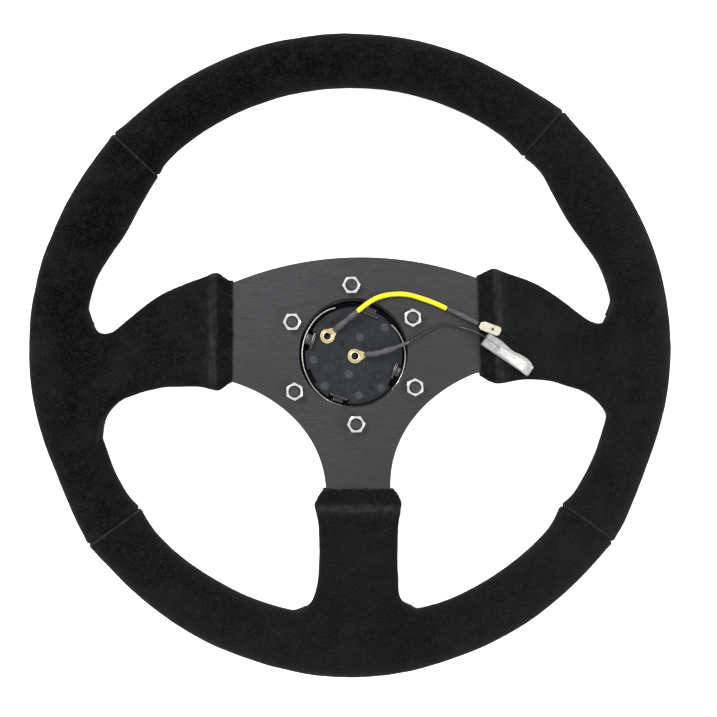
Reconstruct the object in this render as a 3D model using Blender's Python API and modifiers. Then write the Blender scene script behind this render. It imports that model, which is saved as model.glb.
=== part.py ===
"""Three-spoke racing steering wheel, seen from the column side, lying face down.

The steering axis is Z and the column side is +Z. The rim rests on Z = 0. A flat aluminium spoke
plate stands 38 mm above the rim's middle, its three arms bend down to a steel hoop inside the
rim, and foam and four suede covers wrap the hoop and the arms. A horn button sits in the plate's
centre hole, facing down, and its two wire leads lie on the plate.

Lengths are in millimetres up to the moment when a mesh, a curve or a modifier takes them.
"""

import math

import bmesh
import bpy
from mathutils import Matrix, Vector

MM = 0.001
GAP = 0.3

# Rim: 350 mm over the suede, 29 mm deep, with thumb and palm swells.
RIM_DEPTH = 29.0
RIM_MID_Z = RIM_DEPTH / 2
# Degrees from +X, outer radius, inner radius, on the right half of the rim; the left half mirrors it.
RIM_KEYS = [
    (90.0, 175.0, 145.6),
    (54.0, 175.0, 145.4),
    (46.5, 176.0, 144.3),
    (28.0, 175.3, 139.5),
    (12.0, 175.0, 145.2),
    (-22.0, 172.8, 143.5),
    (-36.0, 176.0, 142.3),
    (-50.0, 175.0, 143.8),
    (-74.0, 175.2, 143.8),
    (-90.0, 176.3, 143.2),
]
UPPER_SEAM = 46.5
LOWER_SEAM = -36.0
SEAM_GAP = 0.12
RIM_SECTION_POINTS = 12
RIM_STEP = 9.0

SUEDE = 1.2
SKIN_TO_FOAM = SUEDE + GAP

CORE_RADIUS = 160.0
CORE_TUBE = 6.0

# Spoke plate: 5 mm aluminium, 70 mm bolt circle, 55 mm centre hole.
PLATE_THICKNESS = 5.0
PLATE_BACK_Z = 52.5
PLATE_MID_Z = PLATE_BACK_Z - PLATE_THICKNESS / 2
PLATE_FRONT_Z = PLATE_BACK_Z - PLATE_THICKNESS
BOLT_CIRCLE = 70.0
BOLT_COUNT = 6
BOLT_HOLE_RADIUS = 2.8
CENTRE_HOLE_RADIUS = 27.5
PLATE_TOP_Y = 49.3
TOP_STEPS = 14
ARM_X = 62.0
ARM_TOP_Y = 37.6
ARM_LOW_Y = -11.6
LOWER_ARM_HALF = 16.4
LOWER_ARM_Y = -68.0
ARM_TIP = 152.9
ARM_TIP_TOP = 7.0
ARM_TIP_LOW = -6.0
LOWER_TIP_HALF = 10.0

# The arms drop from the plate's level to the rim's middle between these two radii.
BEND_START = 74.0
BEND_END = 150.0
DROP = PLATE_MID_Z - RIM_MID_Z
BEND_STATIONS = [74.0, 86.0, 97.0, 108.0, 119.0, 130.0, 140.0, 150.0]

# Suede outline of a side spoke: distance from the axis, upper edge, lower edge.
SIDE_SPOKE = [
    (62.0, 38.9, -12.9),
    (70.0, 41.5, -15.9),
    (76.0, 39.6, -14.8),
    (84.0, 37.5, -14.5),
    (98.0, 32.5, -14.9),
    (110.0, 24.7, -17.4),
    (121.0, 17.5, -21.0),
    (129.0, 14.4, -26.0),
    (134.5, 15.0, -32.0),
    (140.0, 23.0, -42.0),
    (148.0, 30.0, -48.0),
    (158.0, 30.0, -48.0),
]
# Suede outline of the lower spoke: distance below the axis, half width.
LOWER_SPOKE = [
    (68.0, 18.3),
    (75.5, 22.1),
    (82.0, 20.8),
    (100.0, 20.3),
    (114.0, 20.9),
    (124.0, 23.0),
    (132.0, 27.5),
    (138.5, 34.0),
    (146.0, 40.0),
    (158.0, 40.0),
]
# Suede height above and below the arm's middle, by distance past the suede's edge.
END_HALF = 3.8
RIDGE_HALF = 7.0
RIDGE_RUN = 8.0
NECK_HALF = 6.4
NECK_RUN = 14.0
ROOT_HALF = 11.5
END_CORNER = 1.4
FOAM_SETBACK = 4.0
ARM_CLEAR = 0.4
ARM_SIDE_CLEAR = 0.9

# Front trim ring, screws and nuts.
TRIM_OUTER = 43.0
TRIM_THICKNESS = 3.0
TRIM_BACK_Z = PLATE_FRONT_Z - GAP
TRIM_FRONT_Z = TRIM_BACK_Z - TRIM_THICKNESS
SCREW_RADIUS = 2.5
SCREW_END_Z = 57.5
SCREW_HEAD_RADIUS = 4.75
SCREW_HEAD_HEIGHT = 2.7
SOCKET_FLATS = 3.0
SOCKET_DEPTH = 1.6
NUT_FLATS = 8.0
NUT_HEIGHT = 4.0
NUT_BORE = 2.8
NUT_TURNS = [0.0, 30.0, 30.0, 0.0, 30.0, 0.0]

# Horn button, from the column side down to the driver's side.
HOUSING_BORE = 24.6
HOUSING_TOP_Z = 50.0
BASE_RADIUS = 24.2
BASE_BACK_Z = 47.5
BASE_THICKNESS = 3.0
BASE_FRONT_Z = BASE_BACK_Z - BASE_THICKNESS
EYELET_BORE = 1.65
EYELET_TUBE = 2.1
EYELET_CLEAR = 2.4
SIDE_EYELET = (-12.95, 9.84)
CENTRE_EYELET = (0.0, 0.0)
RING_TERMINAL_RADIUS = 3.9
RING_TERMINAL_Z = 48.05
RING_TERMINAL_THICKNESS = 0.5
TONGUE_END = 6.5
TONGUE_SLOPE = 0.75
SIDE_LEAD_ANGLE = 37.4
CENTRE_LEAD_ANGLE = 10.0
SNAP_RING_RADIUS = 26.15
SNAP_RING_WIRE = 0.45
SNAP_RING_Z = 47.7
SNAP_RING_FROM = -40.0
SNAP_RING_TO = 245.0
LUG_ANGLES = [68.0, 158.0, 248.0, 338.0]
PRESS = 2.0
DISC_TOP_Z = 41.4
SPRING_RADIUS = 6.2
SPRING_WIRE = 0.5
SPRING_TURNS = 3.0
SPRING_TOP_Z = 43.2
SPRING_LOW_Z = 34.9

# Lead from the side eyelet: route of the wire's middle, from eyelet to tab.
SIDE_WIRE_RADIUS = 0.6
SIDE_ROUTE = [
    (-7.55, 13.97, 50.3),
    (-4.6, 16.2, 51.5),
    (-0.4, 19.4, 52.8),
    (3.35, 22.3, 53.8),
    (7.6, 25.4, 54.5),
    (12.6, 28.1, 54.6),
    (18.2, 29.5, 54.4),
    (23.9, 29.8, 54.2),
    (29.3, 29.1, 54.15),
    (34.3, 27.5, 54.15),
    (41.3, 24.8, 54.15),
    (48.0, 21.5, 54.3),
    (52.0, 19.5, 54.7),
    (55.9, 17.5, 55.7),
    (59.4, 15.4, 57.4),
    (62.8, 13.3, 59.2),
]
# Sleeves along it: first and last share of the length, outer radius.
SIDE_SHRINK = (0.0, 0.165, 1.4)
YELLOW_SLEEVE = (0.169, 0.778, 1.25)
DARK_SLEEVE = (0.782, 1.0, 1.1)

# Lead from the centre eyelet: route of the wire's middle, from eyelet to spade.
CENTRE_WIRE_RADIUS = 0.5
CENTRE_ROUTE = [
    (6.7, 1.18, 50.3),
    (11.5, 2.05, 51.5),
    (16.5, 3.0, 52.5),
    (22.0, 4.0, 53.5),
    (27.7, 5.3, 54.2),
    (32.5, 7.6, 54.0),
    (38.4, 11.2, 53.5),
    (44.9, 12.9, 53.4),
    (50.2, 12.8, 53.6),
    (54.6, 11.9, 54.5),
    (59.0, 10.4, 56.7),
    (62.8, 8.5, 58.7),
    (66.2, 6.3, 59.4),
    (70.4, 3.1, 59.0),
    (73.2, 1.0, 58.75),
]
CENTRE_SHRINK = (0.0, 0.296, 1.15)
SLEEVE_WALL = 0.25
WIRE_POINTS = 26

# Tab, spade and its clear cover.
TAB_CENTRE = (68.4, 10.7, 61.0)
TAB_LENGTH = 10.8
TAB_WIDTH = 4.7
TAB_THICKNESS = 0.8
TAB_TURN = -24.0
TAB_PITCH = 12.0
COVER_MOUTH = (66.0, 5.6, 59.45)
COVER_LENGTH = 28.4
COVER_WIDTH = 7.3
COVER_HEIGHT = 3.2
COVER_WALL = 0.5
COVER_TURN = -35.5
COVER_PITCH = -5.2
SPADE_START = 9.4
SPADE_LENGTH = 15.5
SPADE_WIDTH = 4.6
SPADE_HEIGHT = 1.5
SPADE_SHEET = 0.4
SPADE_SLOT = 1.6


def clear_scene():
    for obj in list(bpy.data.objects):
        bpy.data.objects.remove(obj, do_unlink=True)


def new_collection(name):
    collection = bpy.data.collections.new(name)
    bpy.context.scene.collection.children.link(collection)
    return collection


clear_scene()
PARTS = new_collection("steering_wheel")
CUTTERS = new_collection("cutters")


def material(name, colour, roughness, metallic=0.0):
    """A plain Principled material."""
    made = bpy.data.materials.new(name)
    made.use_nodes = True
    made.diffuse_color = (*colour, 1.0)
    shader = made.node_tree.nodes["Principled BSDF"]
    shader.inputs["Base Color"].default_value = (*colour, 1.0)
    shader.inputs["Roughness"].default_value = roughness
    shader.inputs["Metallic"].default_value = metallic
    return made


def black_suede():
    return material("black_suede", (0.012, 0.012, 0.014), 0.95)


def moulded_foam():
    return material("moulded_foam", (0.05, 0.05, 0.05), 0.9)


def anodised_aluminium():
    return material("anodised_aluminium", (0.06, 0.06, 0.065), 0.4, 0.8)


def mild_steel():
    return material("mild_steel", (0.3, 0.3, 0.3), 0.5, 1.0)


def zinc_plate():
    return material("zinc_plate", (0.8, 0.8, 0.8), 0.25, 1.0)


def dark_steel():
    return material("dark_steel", (0.12, 0.12, 0.12), 0.4, 1.0)


def spring_wire():
    return material("spring_wire", (0.7, 0.7, 0.68), 0.25, 1.0)


def black_plastic():
    return material("black_plastic", (0.02, 0.021, 0.024), 0.5)


def gloss_plastic():
    return material("gloss_plastic", (0.015, 0.015, 0.015), 0.15)


def brass():
    return material("brass", (0.85, 0.72, 0.4), 0.25, 1.0)


def tinned_brass():
    return material("tinned_brass", (0.78, 0.74, 0.6), 0.35, 1.0)


def black_insulation():
    return material("black_insulation", (0.015, 0.015, 0.017), 0.45)


def dark_sleeving():
    return material("dark_sleeving", (0.07, 0.07, 0.075), 0.6)


def yellow_sleeving():
    return material("yellow_sleeving", (0.95, 0.85, 0.02), 0.4)


def clear_vinyl():
    return material("clear_vinyl", (0.8, 0.8, 0.78), 0.25)


def add_object(name, data, finish=None, collection=None):
    """Link a mesh or curve as an object of the part, in metres."""
    obj = bpy.data.objects.new(name, data)
    (collection or PARTS).objects.link(obj)
    if finish:
        data.materials.append(finish)
    return obj


def as_cutter(obj):
    """Move an object to the cutters' collection, out of the model."""
    for collection in list(obj.users_collection):
        collection.objects.unlink(obj)
    CUTTERS.objects.link(obj)
    obj.hide_render = True
    obj.display_type = "WIRE"
    return obj


def combine(obj, cutter, operation):
    """Boolean an object with a cutter."""
    step = obj.modifiers.new(operation.lower(), "BOOLEAN")
    step.operation = operation
    step.solver = "EXACT"
    step.object = as_cutter(cutter)
    return obj


def smooth(mesh, angle=35.0):
    """Round shading, with sharp edges kept."""
    mesh.shade_smooth()
    mesh.set_sharp_from_angle(angle=math.radians(angle))


def turned(name, profile, finish, centre=(0.0, 0.0), closed=False, steps=32):
    """A turned solid from (radius, height) points, down its outer side."""
    mesh = bpy.data.meshes.new(name)
    corners = [(radius * MM, 0.0, height * MM) for radius, height in profile]
    edges = [(i, i + 1) for i in range(len(corners) - 1)]
    if closed:
        edges.append((len(corners) - 1, 0))
    mesh.from_pydata(corners, edges, [])
    obj = add_object(name, mesh, finish)
    obj.location = (centre[0] * MM, centre[1] * MM, 0.0)
    screw = obj.modifiers.new("turn", "SCREW")
    screw.steps = steps
    screw.render_steps = steps
    screw.use_merge_vertices = True
    screw.merge_threshold = 0.00001
    screw.use_smooth_shade = False
    return obj


def loft(name, rings, finish=None, closed=False):
    """A solid through rings of matching points, capped unless it closes on itself."""
    mesh = bpy.data.meshes.new(name)
    build = bmesh.new()
    loops = [[build.verts.new(Vector(point) * MM) for point in ring] for ring in rings]
    pairs = list(zip(loops, loops[1:]))
    if closed:
        pairs.append((loops[-1], loops[0]))
    for first, second in pairs:
        for i in range(len(first)):
            j = (i + 1) % len(first)
            build.faces.new((first[i], first[j], second[j], second[i]))
    if not closed:
        build.faces.new(list(reversed(loops[0])))
        build.faces.new(loops[-1])
    bmesh.ops.recalc_face_normals(build, faces=build.faces)
    build.to_mesh(mesh)
    build.free()
    smooth(mesh, 50.0)
    return add_object(name, mesh, finish)


def flat_solid(name, outlines, low_z, high_z, finish):
    """A flat plate from closed (x, y) outlines; the first is its edge, the rest are its holes."""
    curve = bpy.data.curves.new(name, "CURVE")
    curve.dimensions = "2D"
    curve.fill_mode = "BOTH"
    curve.extrude = (high_z - low_z) / 2 * MM
    for outline in outlines:
        spline = curve.splines.new("POLY")
        spline.points.add(len(outline) - 1)
        spline.use_cyclic_u = True
        for point, (x, y) in zip(spline.points, outline):
            point.co = (x * MM, y * MM, 0.0, 1.0)
    obj = add_object(name, curve, finish)
    obj.location.z = (low_z + high_z) / 2 * MM
    return obj


def mesh_from_curve(obj):
    """Swap a curve object for a welded mesh object of the same name and place."""
    bpy.context.view_layer.update()
    graph = bpy.context.evaluated_depsgraph_get()
    mesh = bpy.data.meshes.new_from_object(obj.evaluated_get(graph))
    build = bmesh.new()
    build.from_mesh(mesh)
    bmesh.ops.remove_doubles(build, verts=build.verts, dist=0.000001)
    build.to_mesh(mesh)
    build.free()
    name = obj.name
    place = obj.matrix_world.copy()
    finish = obj.data.materials[0] if obj.data.materials else None
    bpy.data.objects.remove(obj, do_unlink=True)
    if finish and not mesh.materials:
        mesh.materials.append(finish)
    made = add_object(name, mesh)
    made.matrix_world = place
    return made


def circle(radius, centre=(0.0, 0.0), count=24, start=0.0):
    turns = [math.radians(start) + 2 * math.pi * i / count for i in range(count)]
    return [(centre[0] + radius * math.cos(t), centre[1] + radius * math.sin(t)) for t in turns]


def bezier(start, first, second, end, count):
    """Points along a cubic, without its last one."""
    points = []
    for i in range(count):
        t = i / count
        weights = ((1 - t) ** 3, 3 * t * (1 - t) ** 2, 3 * t * t * (1 - t), t**3)
        x = sum(w * p[0] for w, p in zip(weights, (start, first, second, end)))
        y = sum(w * p[1] for w, p in zip(weights, (start, first, second, end)))
        points.append((x, y))
    return points


def between(keys, where):
    """Values at a place, eased between the keys on each side of it."""
    keys = sorted(keys)
    if where <= keys[0][0]:
        return keys[0][1:]
    for low, high in zip(keys, keys[1:]):
        if where <= high[0]:
            share = (where - low[0]) / (high[0] - low[0])
            share = share * share * (3 - 2 * share)
            return tuple(a + (b - a) * share for a, b in zip(low[1:], high[1:]))
    return keys[-1][1:]


def line_between(keys, where):
    """Values at a place, in a straight line between the keys on each side of it."""
    if where <= keys[0][0]:
        return keys[0][1:]
    for low, high in zip(keys, keys[1:]):
        if where <= high[0]:
            share = (where - low[0]) / (high[0] - low[0])
            return tuple(a + (b - a) * share for a, b in zip(low[1:], high[1:]))
    return keys[-1][1:]


def bend_height(station):
    """Height of an arm's middle at one of its bend stations."""
    share = (station - BEND_START) / (BEND_END - BEND_START)
    return PLATE_MID_Z - DROP * share * share * (3 - 2 * share)


def arm_height(reach):
    """Height of an arm's middle at a distance from the axis, straight between the stations."""
    return line_between([(station, bend_height(station)) for station in BEND_STATIONS], reach)[0]


# ---------------------------------------------------------------- spoke plate


def upper_arm_edge():
    """A side arm's upper edge, from the plate out to the tip."""
    points = bezier((ARM_X, ARM_TOP_Y), (90, 26.6), (112, 9), (ARM_TIP, ARM_TIP_TOP), 6)
    return points + [(ARM_TIP, ARM_TIP_TOP)]


def lower_arm_edge():
    """A side arm's lower edge, from the plate out to the tip."""
    points = bezier((ARM_X, ARM_LOW_Y), (90, -10), (120, -9), (ARM_TIP, ARM_TIP_LOW), 4)
    return points + [(ARM_TIP, ARM_TIP_LOW)]


def plate_outline():
    """The plate's edge, anticlockwise from the right arm's upper corner."""
    sag = PLATE_TOP_Y - ARM_TOP_Y
    radius = (ARM_X**2 + sag**2) / (2 * sag)
    spread = math.asin(ARM_X / radius)
    top = []
    for i in range(TOP_STEPS):
        turn = spread * (1 - 2 * i / TOP_STEPS)
        top.append((radius * math.sin(turn), PLATE_TOP_Y - radius * (1 - math.cos(turn))))
    upper_arm = list(reversed(upper_arm_edge()[1:]))
    lower_arm = lower_arm_edge()[:-1]
    waist = bezier((LOWER_ARM_HALF, LOWER_ARM_Y), (16.8, -38), (40, -19), (ARM_X, ARM_LOW_Y), 10)
    right = [(LOWER_TIP_HALF, -ARM_TIP)] + waist + lower_arm + [(ARM_TIP, ARM_TIP_LOW)] + upper_arm
    left = [(-x, y) for x, y in reversed(right)]
    return right + top + [(-ARM_X, ARM_TOP_Y)] + left


def cut_across(build, place, normal):
    """Add edges to a mesh where a plane crosses it."""
    parts = build.verts[:] + build.edges[:] + build.faces[:]
    bmesh.ops.bisect_plane(build, geom=parts, dist=0.000001, plane_co=place, plane_no=normal)


def bend_arms(obj):
    """Cut the arms at their stations and lower them to the rim."""
    build = bmesh.new()
    build.from_mesh(obj.data)
    for reach in BEND_STATIONS:
        for place, normal in (
            ((reach, 0, 0), (1, 0, 0)),
            ((-reach, 0, 0), (1, 0, 0)),
            ((0, -reach, 0), (0, 1, 0)),
        ):
            cut_across(build, Vector(place) * MM, normal)
    for vert in build.verts:
        reach = max(abs(vert.co.x), -vert.co.y) / MM
        vert.co.z += (arm_height(reach) - PLATE_MID_Z) * MM
    build.to_mesh(obj.data)
    build.free()
    return obj


def spoke_plate():
    holes = [circle(CENTRE_HOLE_RADIUS, count=40)]
    for i in range(BOLT_COUNT):
        holes.append(circle(BOLT_HOLE_RADIUS, bolt_place(i), 10))
    outlines = [plate_outline()] + holes
    finish = anodised_aluminium()
    plate = flat_solid("spoke_plate", outlines, PLATE_FRONT_Z, PLATE_BACK_Z, finish)
    plate = bend_arms(mesh_from_curve(plate))
    smooth(plate.data, 30.0)
    return plate


def bolt_place(index):
    """Centre of a bolt, counted anticlockwise from the top one."""
    turn = math.radians(90.0 + 360.0 * index / BOLT_COUNT)
    return (BOLT_CIRCLE / 2 * math.cos(turn), BOLT_CIRCLE / 2 * math.sin(turn))


# ---------------------------------------------------------------- rim, foam and covers


def rim_ring(degrees, shrink):
    """Section of the rim at an angle, smaller than the suede's outside by shrink."""
    turn = math.radians(degrees)
    mirrored = math.degrees(math.asin(math.sin(turn)))
    outer, inner = between(RIM_KEYS, mirrored)
    middle = (outer + inner) / 2
    half = (outer - inner) / 2 - shrink
    rise = RIM_MID_Z - shrink
    points = []
    for i in range(RIM_SECTION_POINTS):
        around = 2 * math.pi * i / RIM_SECTION_POINTS
        reach = middle + half * math.cos(around)
        height = RIM_MID_Z + rise * math.sin(around)
        points.append((reach * math.cos(turn), reach * math.sin(turn), height))
    return points


def rim_angles(start, end):
    """The rim's stations between two angles, with both ends."""
    inside = []
    station = math.ceil(start / RIM_STEP) * RIM_STEP
    while station < end:
        if min(station - start, end - station) > 1.0:
            inside.append(station)
        station += RIM_STEP
    return [start] + inside + [end]


def seams():
    """The four seams' angles, anticlockwise from the right upper one."""
    return [UPPER_SEAM, 180 - UPPER_SEAM, 180 - LOWER_SEAM, 360 + LOWER_SEAM]


def box_ring(reach, low, high, half, corner, place):
    """A rounded rectangle across an arm; place turns (reach, across, height) into x, y, z."""
    corner = min(corner, half * 0.98, (high - low) * 0.49)
    centres = (
        (high - corner, half - corner, 0),
        (low + corner, half - corner, 90),
        (low + corner, corner - half, 180),
        (high - corner, corner - half, 270),
    )
    height = arm_height(reach)
    points = []
    for across, up, start in centres:
        for turn in (0, 45, 90):
            angle = math.radians(start + turn)
            side = across + corner * math.cos(angle)
            rise = up + corner * math.sin(angle)
            points.append(place(reach, side, height + rise))
    return points


def suede_half(past):
    """Half thickness of the wrapped arm, by distance past the suede's edge."""
    keys = [
        (0.0, END_HALF),
        (RIDGE_RUN, RIDGE_HALF),
        (NECK_RUN, NECK_HALF),
        (46.0, 7.2),
        (66.0, 9.5),
        (86.0, ROOT_HALF),
    ]
    return line_between(keys, past)[0]


def spoke_rings(spoke, place, shrink, first, lead=0.0):
    """Sections of a wrapped arm, smaller than the suede's outside by shrink."""
    edge = spoke[0][0]
    rings = []
    reaches = [first] + [row[0] for row in spoke if row[0] > first]
    if lead:
        reaches.insert(0, first - lead)
    for reach in reaches:
        row = line_between(spoke, reach)
        low, high = (-row[0], row[0]) if len(row) == 1 else (row[1], row[0])
        half = suede_half(reach - edge)
        corner = END_CORNER + (half - END_HALF) * 1.2
        arm_low, arm_high = arm_edges(reach, place)
        half = max(half - shrink, PLATE_THICKNESS / 2 + ARM_CLEAR) if shrink else half
        high = max(high - shrink, arm_high + ARM_CLEAR) if shrink else high
        low = min(low + shrink, arm_low - ARM_CLEAR) if shrink else low
        corner = max(corner - shrink, 0.15)
        rings.append(box_ring(reach, low, high, half, corner, place))
    return rings


def on_right(reach, side, height):
    return (reach, side, height)


def on_left(reach, side, height):
    return (-reach, side, height)


def on_lower(reach, side, height):
    return (side, -reach, height)


def arm_edges(reach, place):
    """Lower and upper edge of a bare arm at a distance from the axis."""
    if place is on_lower:
        share = (reach + LOWER_ARM_Y) / (ARM_TIP + LOWER_ARM_Y)
        half = LOWER_ARM_HALF + (LOWER_TIP_HALF - LOWER_ARM_HALF) * min(max(share, 0.0), 1.0)
        return -half, half
    return line_between(lower_arm_edge(), reach)[0], line_between(upper_arm_edge(), reach)[0]


SPOKES = [
    ("left", SIDE_SPOKE, on_left),
    ("right", SIDE_SPOKE, on_right),
    ("lower", LOWER_SPOKE, on_lower),
]


def cover(name, start, end, spoke=None):
    """A suede cover round a stretch of rim, and round the arm that meets it."""
    finish = black_suede()
    outer = [rim_ring(angle, 0.0) for angle in rim_angles(start, end)]
    body = loft(name, outer, finish)
    inner_angles = rim_angles(start, end)
    inner_angles = [start - 2.0] + inner_angles + [end + 2.0]
    inner = loft(name + "_inside", [rim_ring(angle, SUEDE) for angle in inner_angles])
    if spoke:
        outline, place = spoke
        edge = outline[0][0]
        arm = loft(name + "_arm", spoke_rings(outline, place, 0.0, edge))
        combine(body, arm, "UNION")
        hollow = loft(name + "_arm_inside", spoke_rings(outline, place, SUEDE, edge, 2.0))
        combine(inner, hollow, "UNION")
    combine(body, inner, "DIFFERENCE")
    return body


def rim_covers():
    right_upper, left_upper, left_lower, right_lower = seams()
    half = SEAM_GAP / 2
    cover("cover_top", right_upper + half, left_upper - half)
    left = (SIDE_SPOKE, on_left)
    cover("cover_left", left_upper + half, left_lower - half, left)
    cover("cover_bottom", left_lower + half, right_lower - half, (LOWER_SPOKE, on_lower))
    right = (SIDE_SPOKE, on_right)
    cover("cover_right", right_lower + half - 360, right_upper - half, right)


def core_ring(radius, steps=36, sides=6):
    """Rings of the hoop, for a solid of a given tube radius."""
    rings = []
    for i in range(steps):
        turn = 2 * math.pi * i / steps
        ring = []
        for j in range(sides):
            around = 2 * math.pi * j / sides
            reach = CORE_RADIUS + radius * math.cos(around)
            height = RIM_MID_Z + radius * math.sin(around)
            ring.append((reach * math.cos(turn), reach * math.sin(turn), height))
        rings.append(ring)
    return rings


def rim_core():
    return loft("rim_core", core_ring(CORE_TUBE), mild_steel(), closed=True)


def rim_foam():
    """Foam round the hoop and the arms, hollow where they are."""
    marks = sorted(set(rim_angles(UPPER_SEAM, 360 + LOWER_SEAM) + rim_angles(LOWER_SEAM, UPPER_SEAM)))
    stations = []
    for mark in marks + seams()[1:3]:
        if all(abs((mark - other + 180) % 360 - 180) > 1.0 for other in stations):
            stations.append(mark)
    stations.sort()
    rings = [rim_ring(angle, SKIN_TO_FOAM) for angle in stations]
    foam = loft("rim_foam", rings, moulded_foam(), closed=True)
    hoop = loft("hoop_space", core_ring((CORE_TUBE + GAP) * 1.05), closed=True)
    for side, outline, place in SPOKES:
        first = outline[0][0] + FOAM_SETBACK
        pad = loft(side + "_pad", spoke_rings(outline, place, SKIN_TO_FOAM, first))
        combine(foam, pad, "UNION")
        combine(hoop, arm_space(side, outline, place), "UNION")
    combine(foam, hoop, "DIFFERENCE")
    return foam


def arm_space(side, outline, place):
    """The room that a bare arm takes in the foam."""
    rings = []
    inner_end = outline[0][0] - 4.0
    half = PLATE_THICKNESS / 2 + ARM_CLEAR
    for reach in [inner_end, ARM_X, ARM_X + 6.0] + BEND_STATIONS + [ARM_TIP + 3.0]:
        low, high = arm_edges(reach, place)
        low -= ARM_SIDE_CLEAR
        high += ARM_SIDE_CLEAR
        height = arm_height(reach)
        corners = ((high, half), (low, half), (low, -half), (high, -half))
        rings.append([place(reach, across, height + rise) for across, rise in corners])
    return loft(side + "_arm_space", rings)


# ---------------------------------------------------------------- trim ring, screws and nuts


def trim_ring():
    outlines = [circle(TRIM_OUTER, count=40), circle(CENTRE_HOLE_RADIUS, count=40)]
    for i in range(BOLT_COUNT):
        outlines.append(circle(BOLT_HOLE_RADIUS, bolt_place(i), 10))
    finish = anodised_aluminium()
    return mesh_from_curve(flat_solid("trim_ring", outlines, TRIM_FRONT_Z, TRIM_BACK_Z, finish))


def hex_prism(name, flats, low_z, high_z, centre, turn, finish=None):
    outline = circle(flats / math.sqrt(3), centre, 6, turn)
    return mesh_from_curve(flat_solid(name, [outline], low_z, high_z, finish))


def screw(index):
    """A button-head screw, head on the driver's side, with a hexagon socket."""
    head_top = TRIM_FRONT_Z - GAP
    head_low = head_top - SCREW_HEAD_HEIGHT
    profile = [
        (0.0, SCREW_END_Z),
        (SCREW_RADIUS - 0.5, SCREW_END_Z),
        (SCREW_RADIUS, SCREW_END_Z - 0.5),
        (SCREW_RADIUS, head_top),
        (SCREW_HEAD_RADIUS, head_top),
        (SCREW_HEAD_RADIUS - 0.1, head_top - 0.9),
        (SCREW_HEAD_RADIUS - 1.6, head_low),
        (0.0, head_low),
    ]
    centre = bolt_place(index)
    body = turned(f"screw_{index + 1}", profile, dark_steel(), centre, steps=12)
    top = head_low + SOCKET_DEPTH
    socket = hex_prism(f"socket_{index + 1}", SOCKET_FLATS, head_low - 1.0, top, centre, 0.0)
    return combine(body, socket, "DIFFERENCE")


def nut(index):
    centre = bolt_place(index)
    low = PLATE_BACK_Z + GAP
    high = low + NUT_HEIGHT
    outlines = [
        circle(NUT_FLATS / math.sqrt(3), centre, 6, NUT_TURNS[index]),
        circle(NUT_BORE, centre, 12),
    ]
    return mesh_from_curve(flat_solid(f"nut_{index + 1}", outlines, low, high, zinc_plate()))


# ---------------------------------------------------------------- horn button


def horn_housing():
    """The snap-in ring that carries the button, with four hooks over the base."""
    mouth = HOUSING_BORE
    profile = [
        (mouth, HOUSING_TOP_Z),
        (25.4, HOUSING_TOP_Z),
        (25.4, 46.8),
        (27.1, 46.8),
        (27.1, 43.9),
        (29.8, 43.9),
        (29.8, 42.8),
        (27.5, 37.8),
        (mouth, 37.8),
        (mouth, 39.0),
        (25.6, 39.0),
        (25.6, 42.9),
        (23.5, 42.9),
        (23.5, 44.2),
        (mouth, 44.2),
    ]
    ring = turned("horn_housing", profile, black_plastic(), closed=True)
    for number, angle in enumerate(LUG_ANGLES):
        hook = flat_solid(
            f"hook_{number}",
            [[(22.6, -3.5), (25.0, -3.5), (25.0, 3.5), (22.6, 3.5)]],
            47.85,
            49.3,
            None,
        )
        hook.rotation_euler.z = math.radians(angle)
        combine(ring, mesh_from_curve(hook), "UNION")
    return ring


def horn_base():
    """The button's black back plate, with holes for the two eyelets."""
    outlines = [circle(BASE_RADIUS, count=32)]
    for centre in (SIDE_EYELET, CENTRE_EYELET):
        outlines.append(circle(EYELET_CLEAR, centre, 12))
    finish = black_plastic()
    return mesh_from_curve(flat_solid("horn_base", outlines, BASE_FRONT_Z, BASE_BACK_Z, finish))


def contact_ring():
    top = BASE_FRONT_Z - GAP
    outlines = [
        circle(20.0, count=28),
        circle(12.0, count=20),
        circle(EYELET_CLEAR, SIDE_EYELET, 12),
    ]
    return mesh_from_curve(flat_solid("contact_ring", outlines, top - 0.5, top, brass()))


def eyelet(name, centre, low_z, low_radius):
    """A tubular rivet through the base, its flange over the ring terminal."""
    top = RING_TERMINAL_Z + RING_TERMINAL_THICKNESS / 2 + GAP + 0.5
    profile = [
        (EYELET_BORE + 0.2, top),
        (3.0, top),
        (3.3, top - 0.5),
        (EYELET_TUBE, top - 0.5),
        (EYELET_TUBE, low_z + 0.4),
        (low_radius, low_z + 0.4),
        (low_radius, low_z),
        (EYELET_BORE, low_z),
        (EYELET_BORE, top - 0.2),
    ]
    return turned(name, profile, brass(), centre, closed=True, steps=12)


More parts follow.
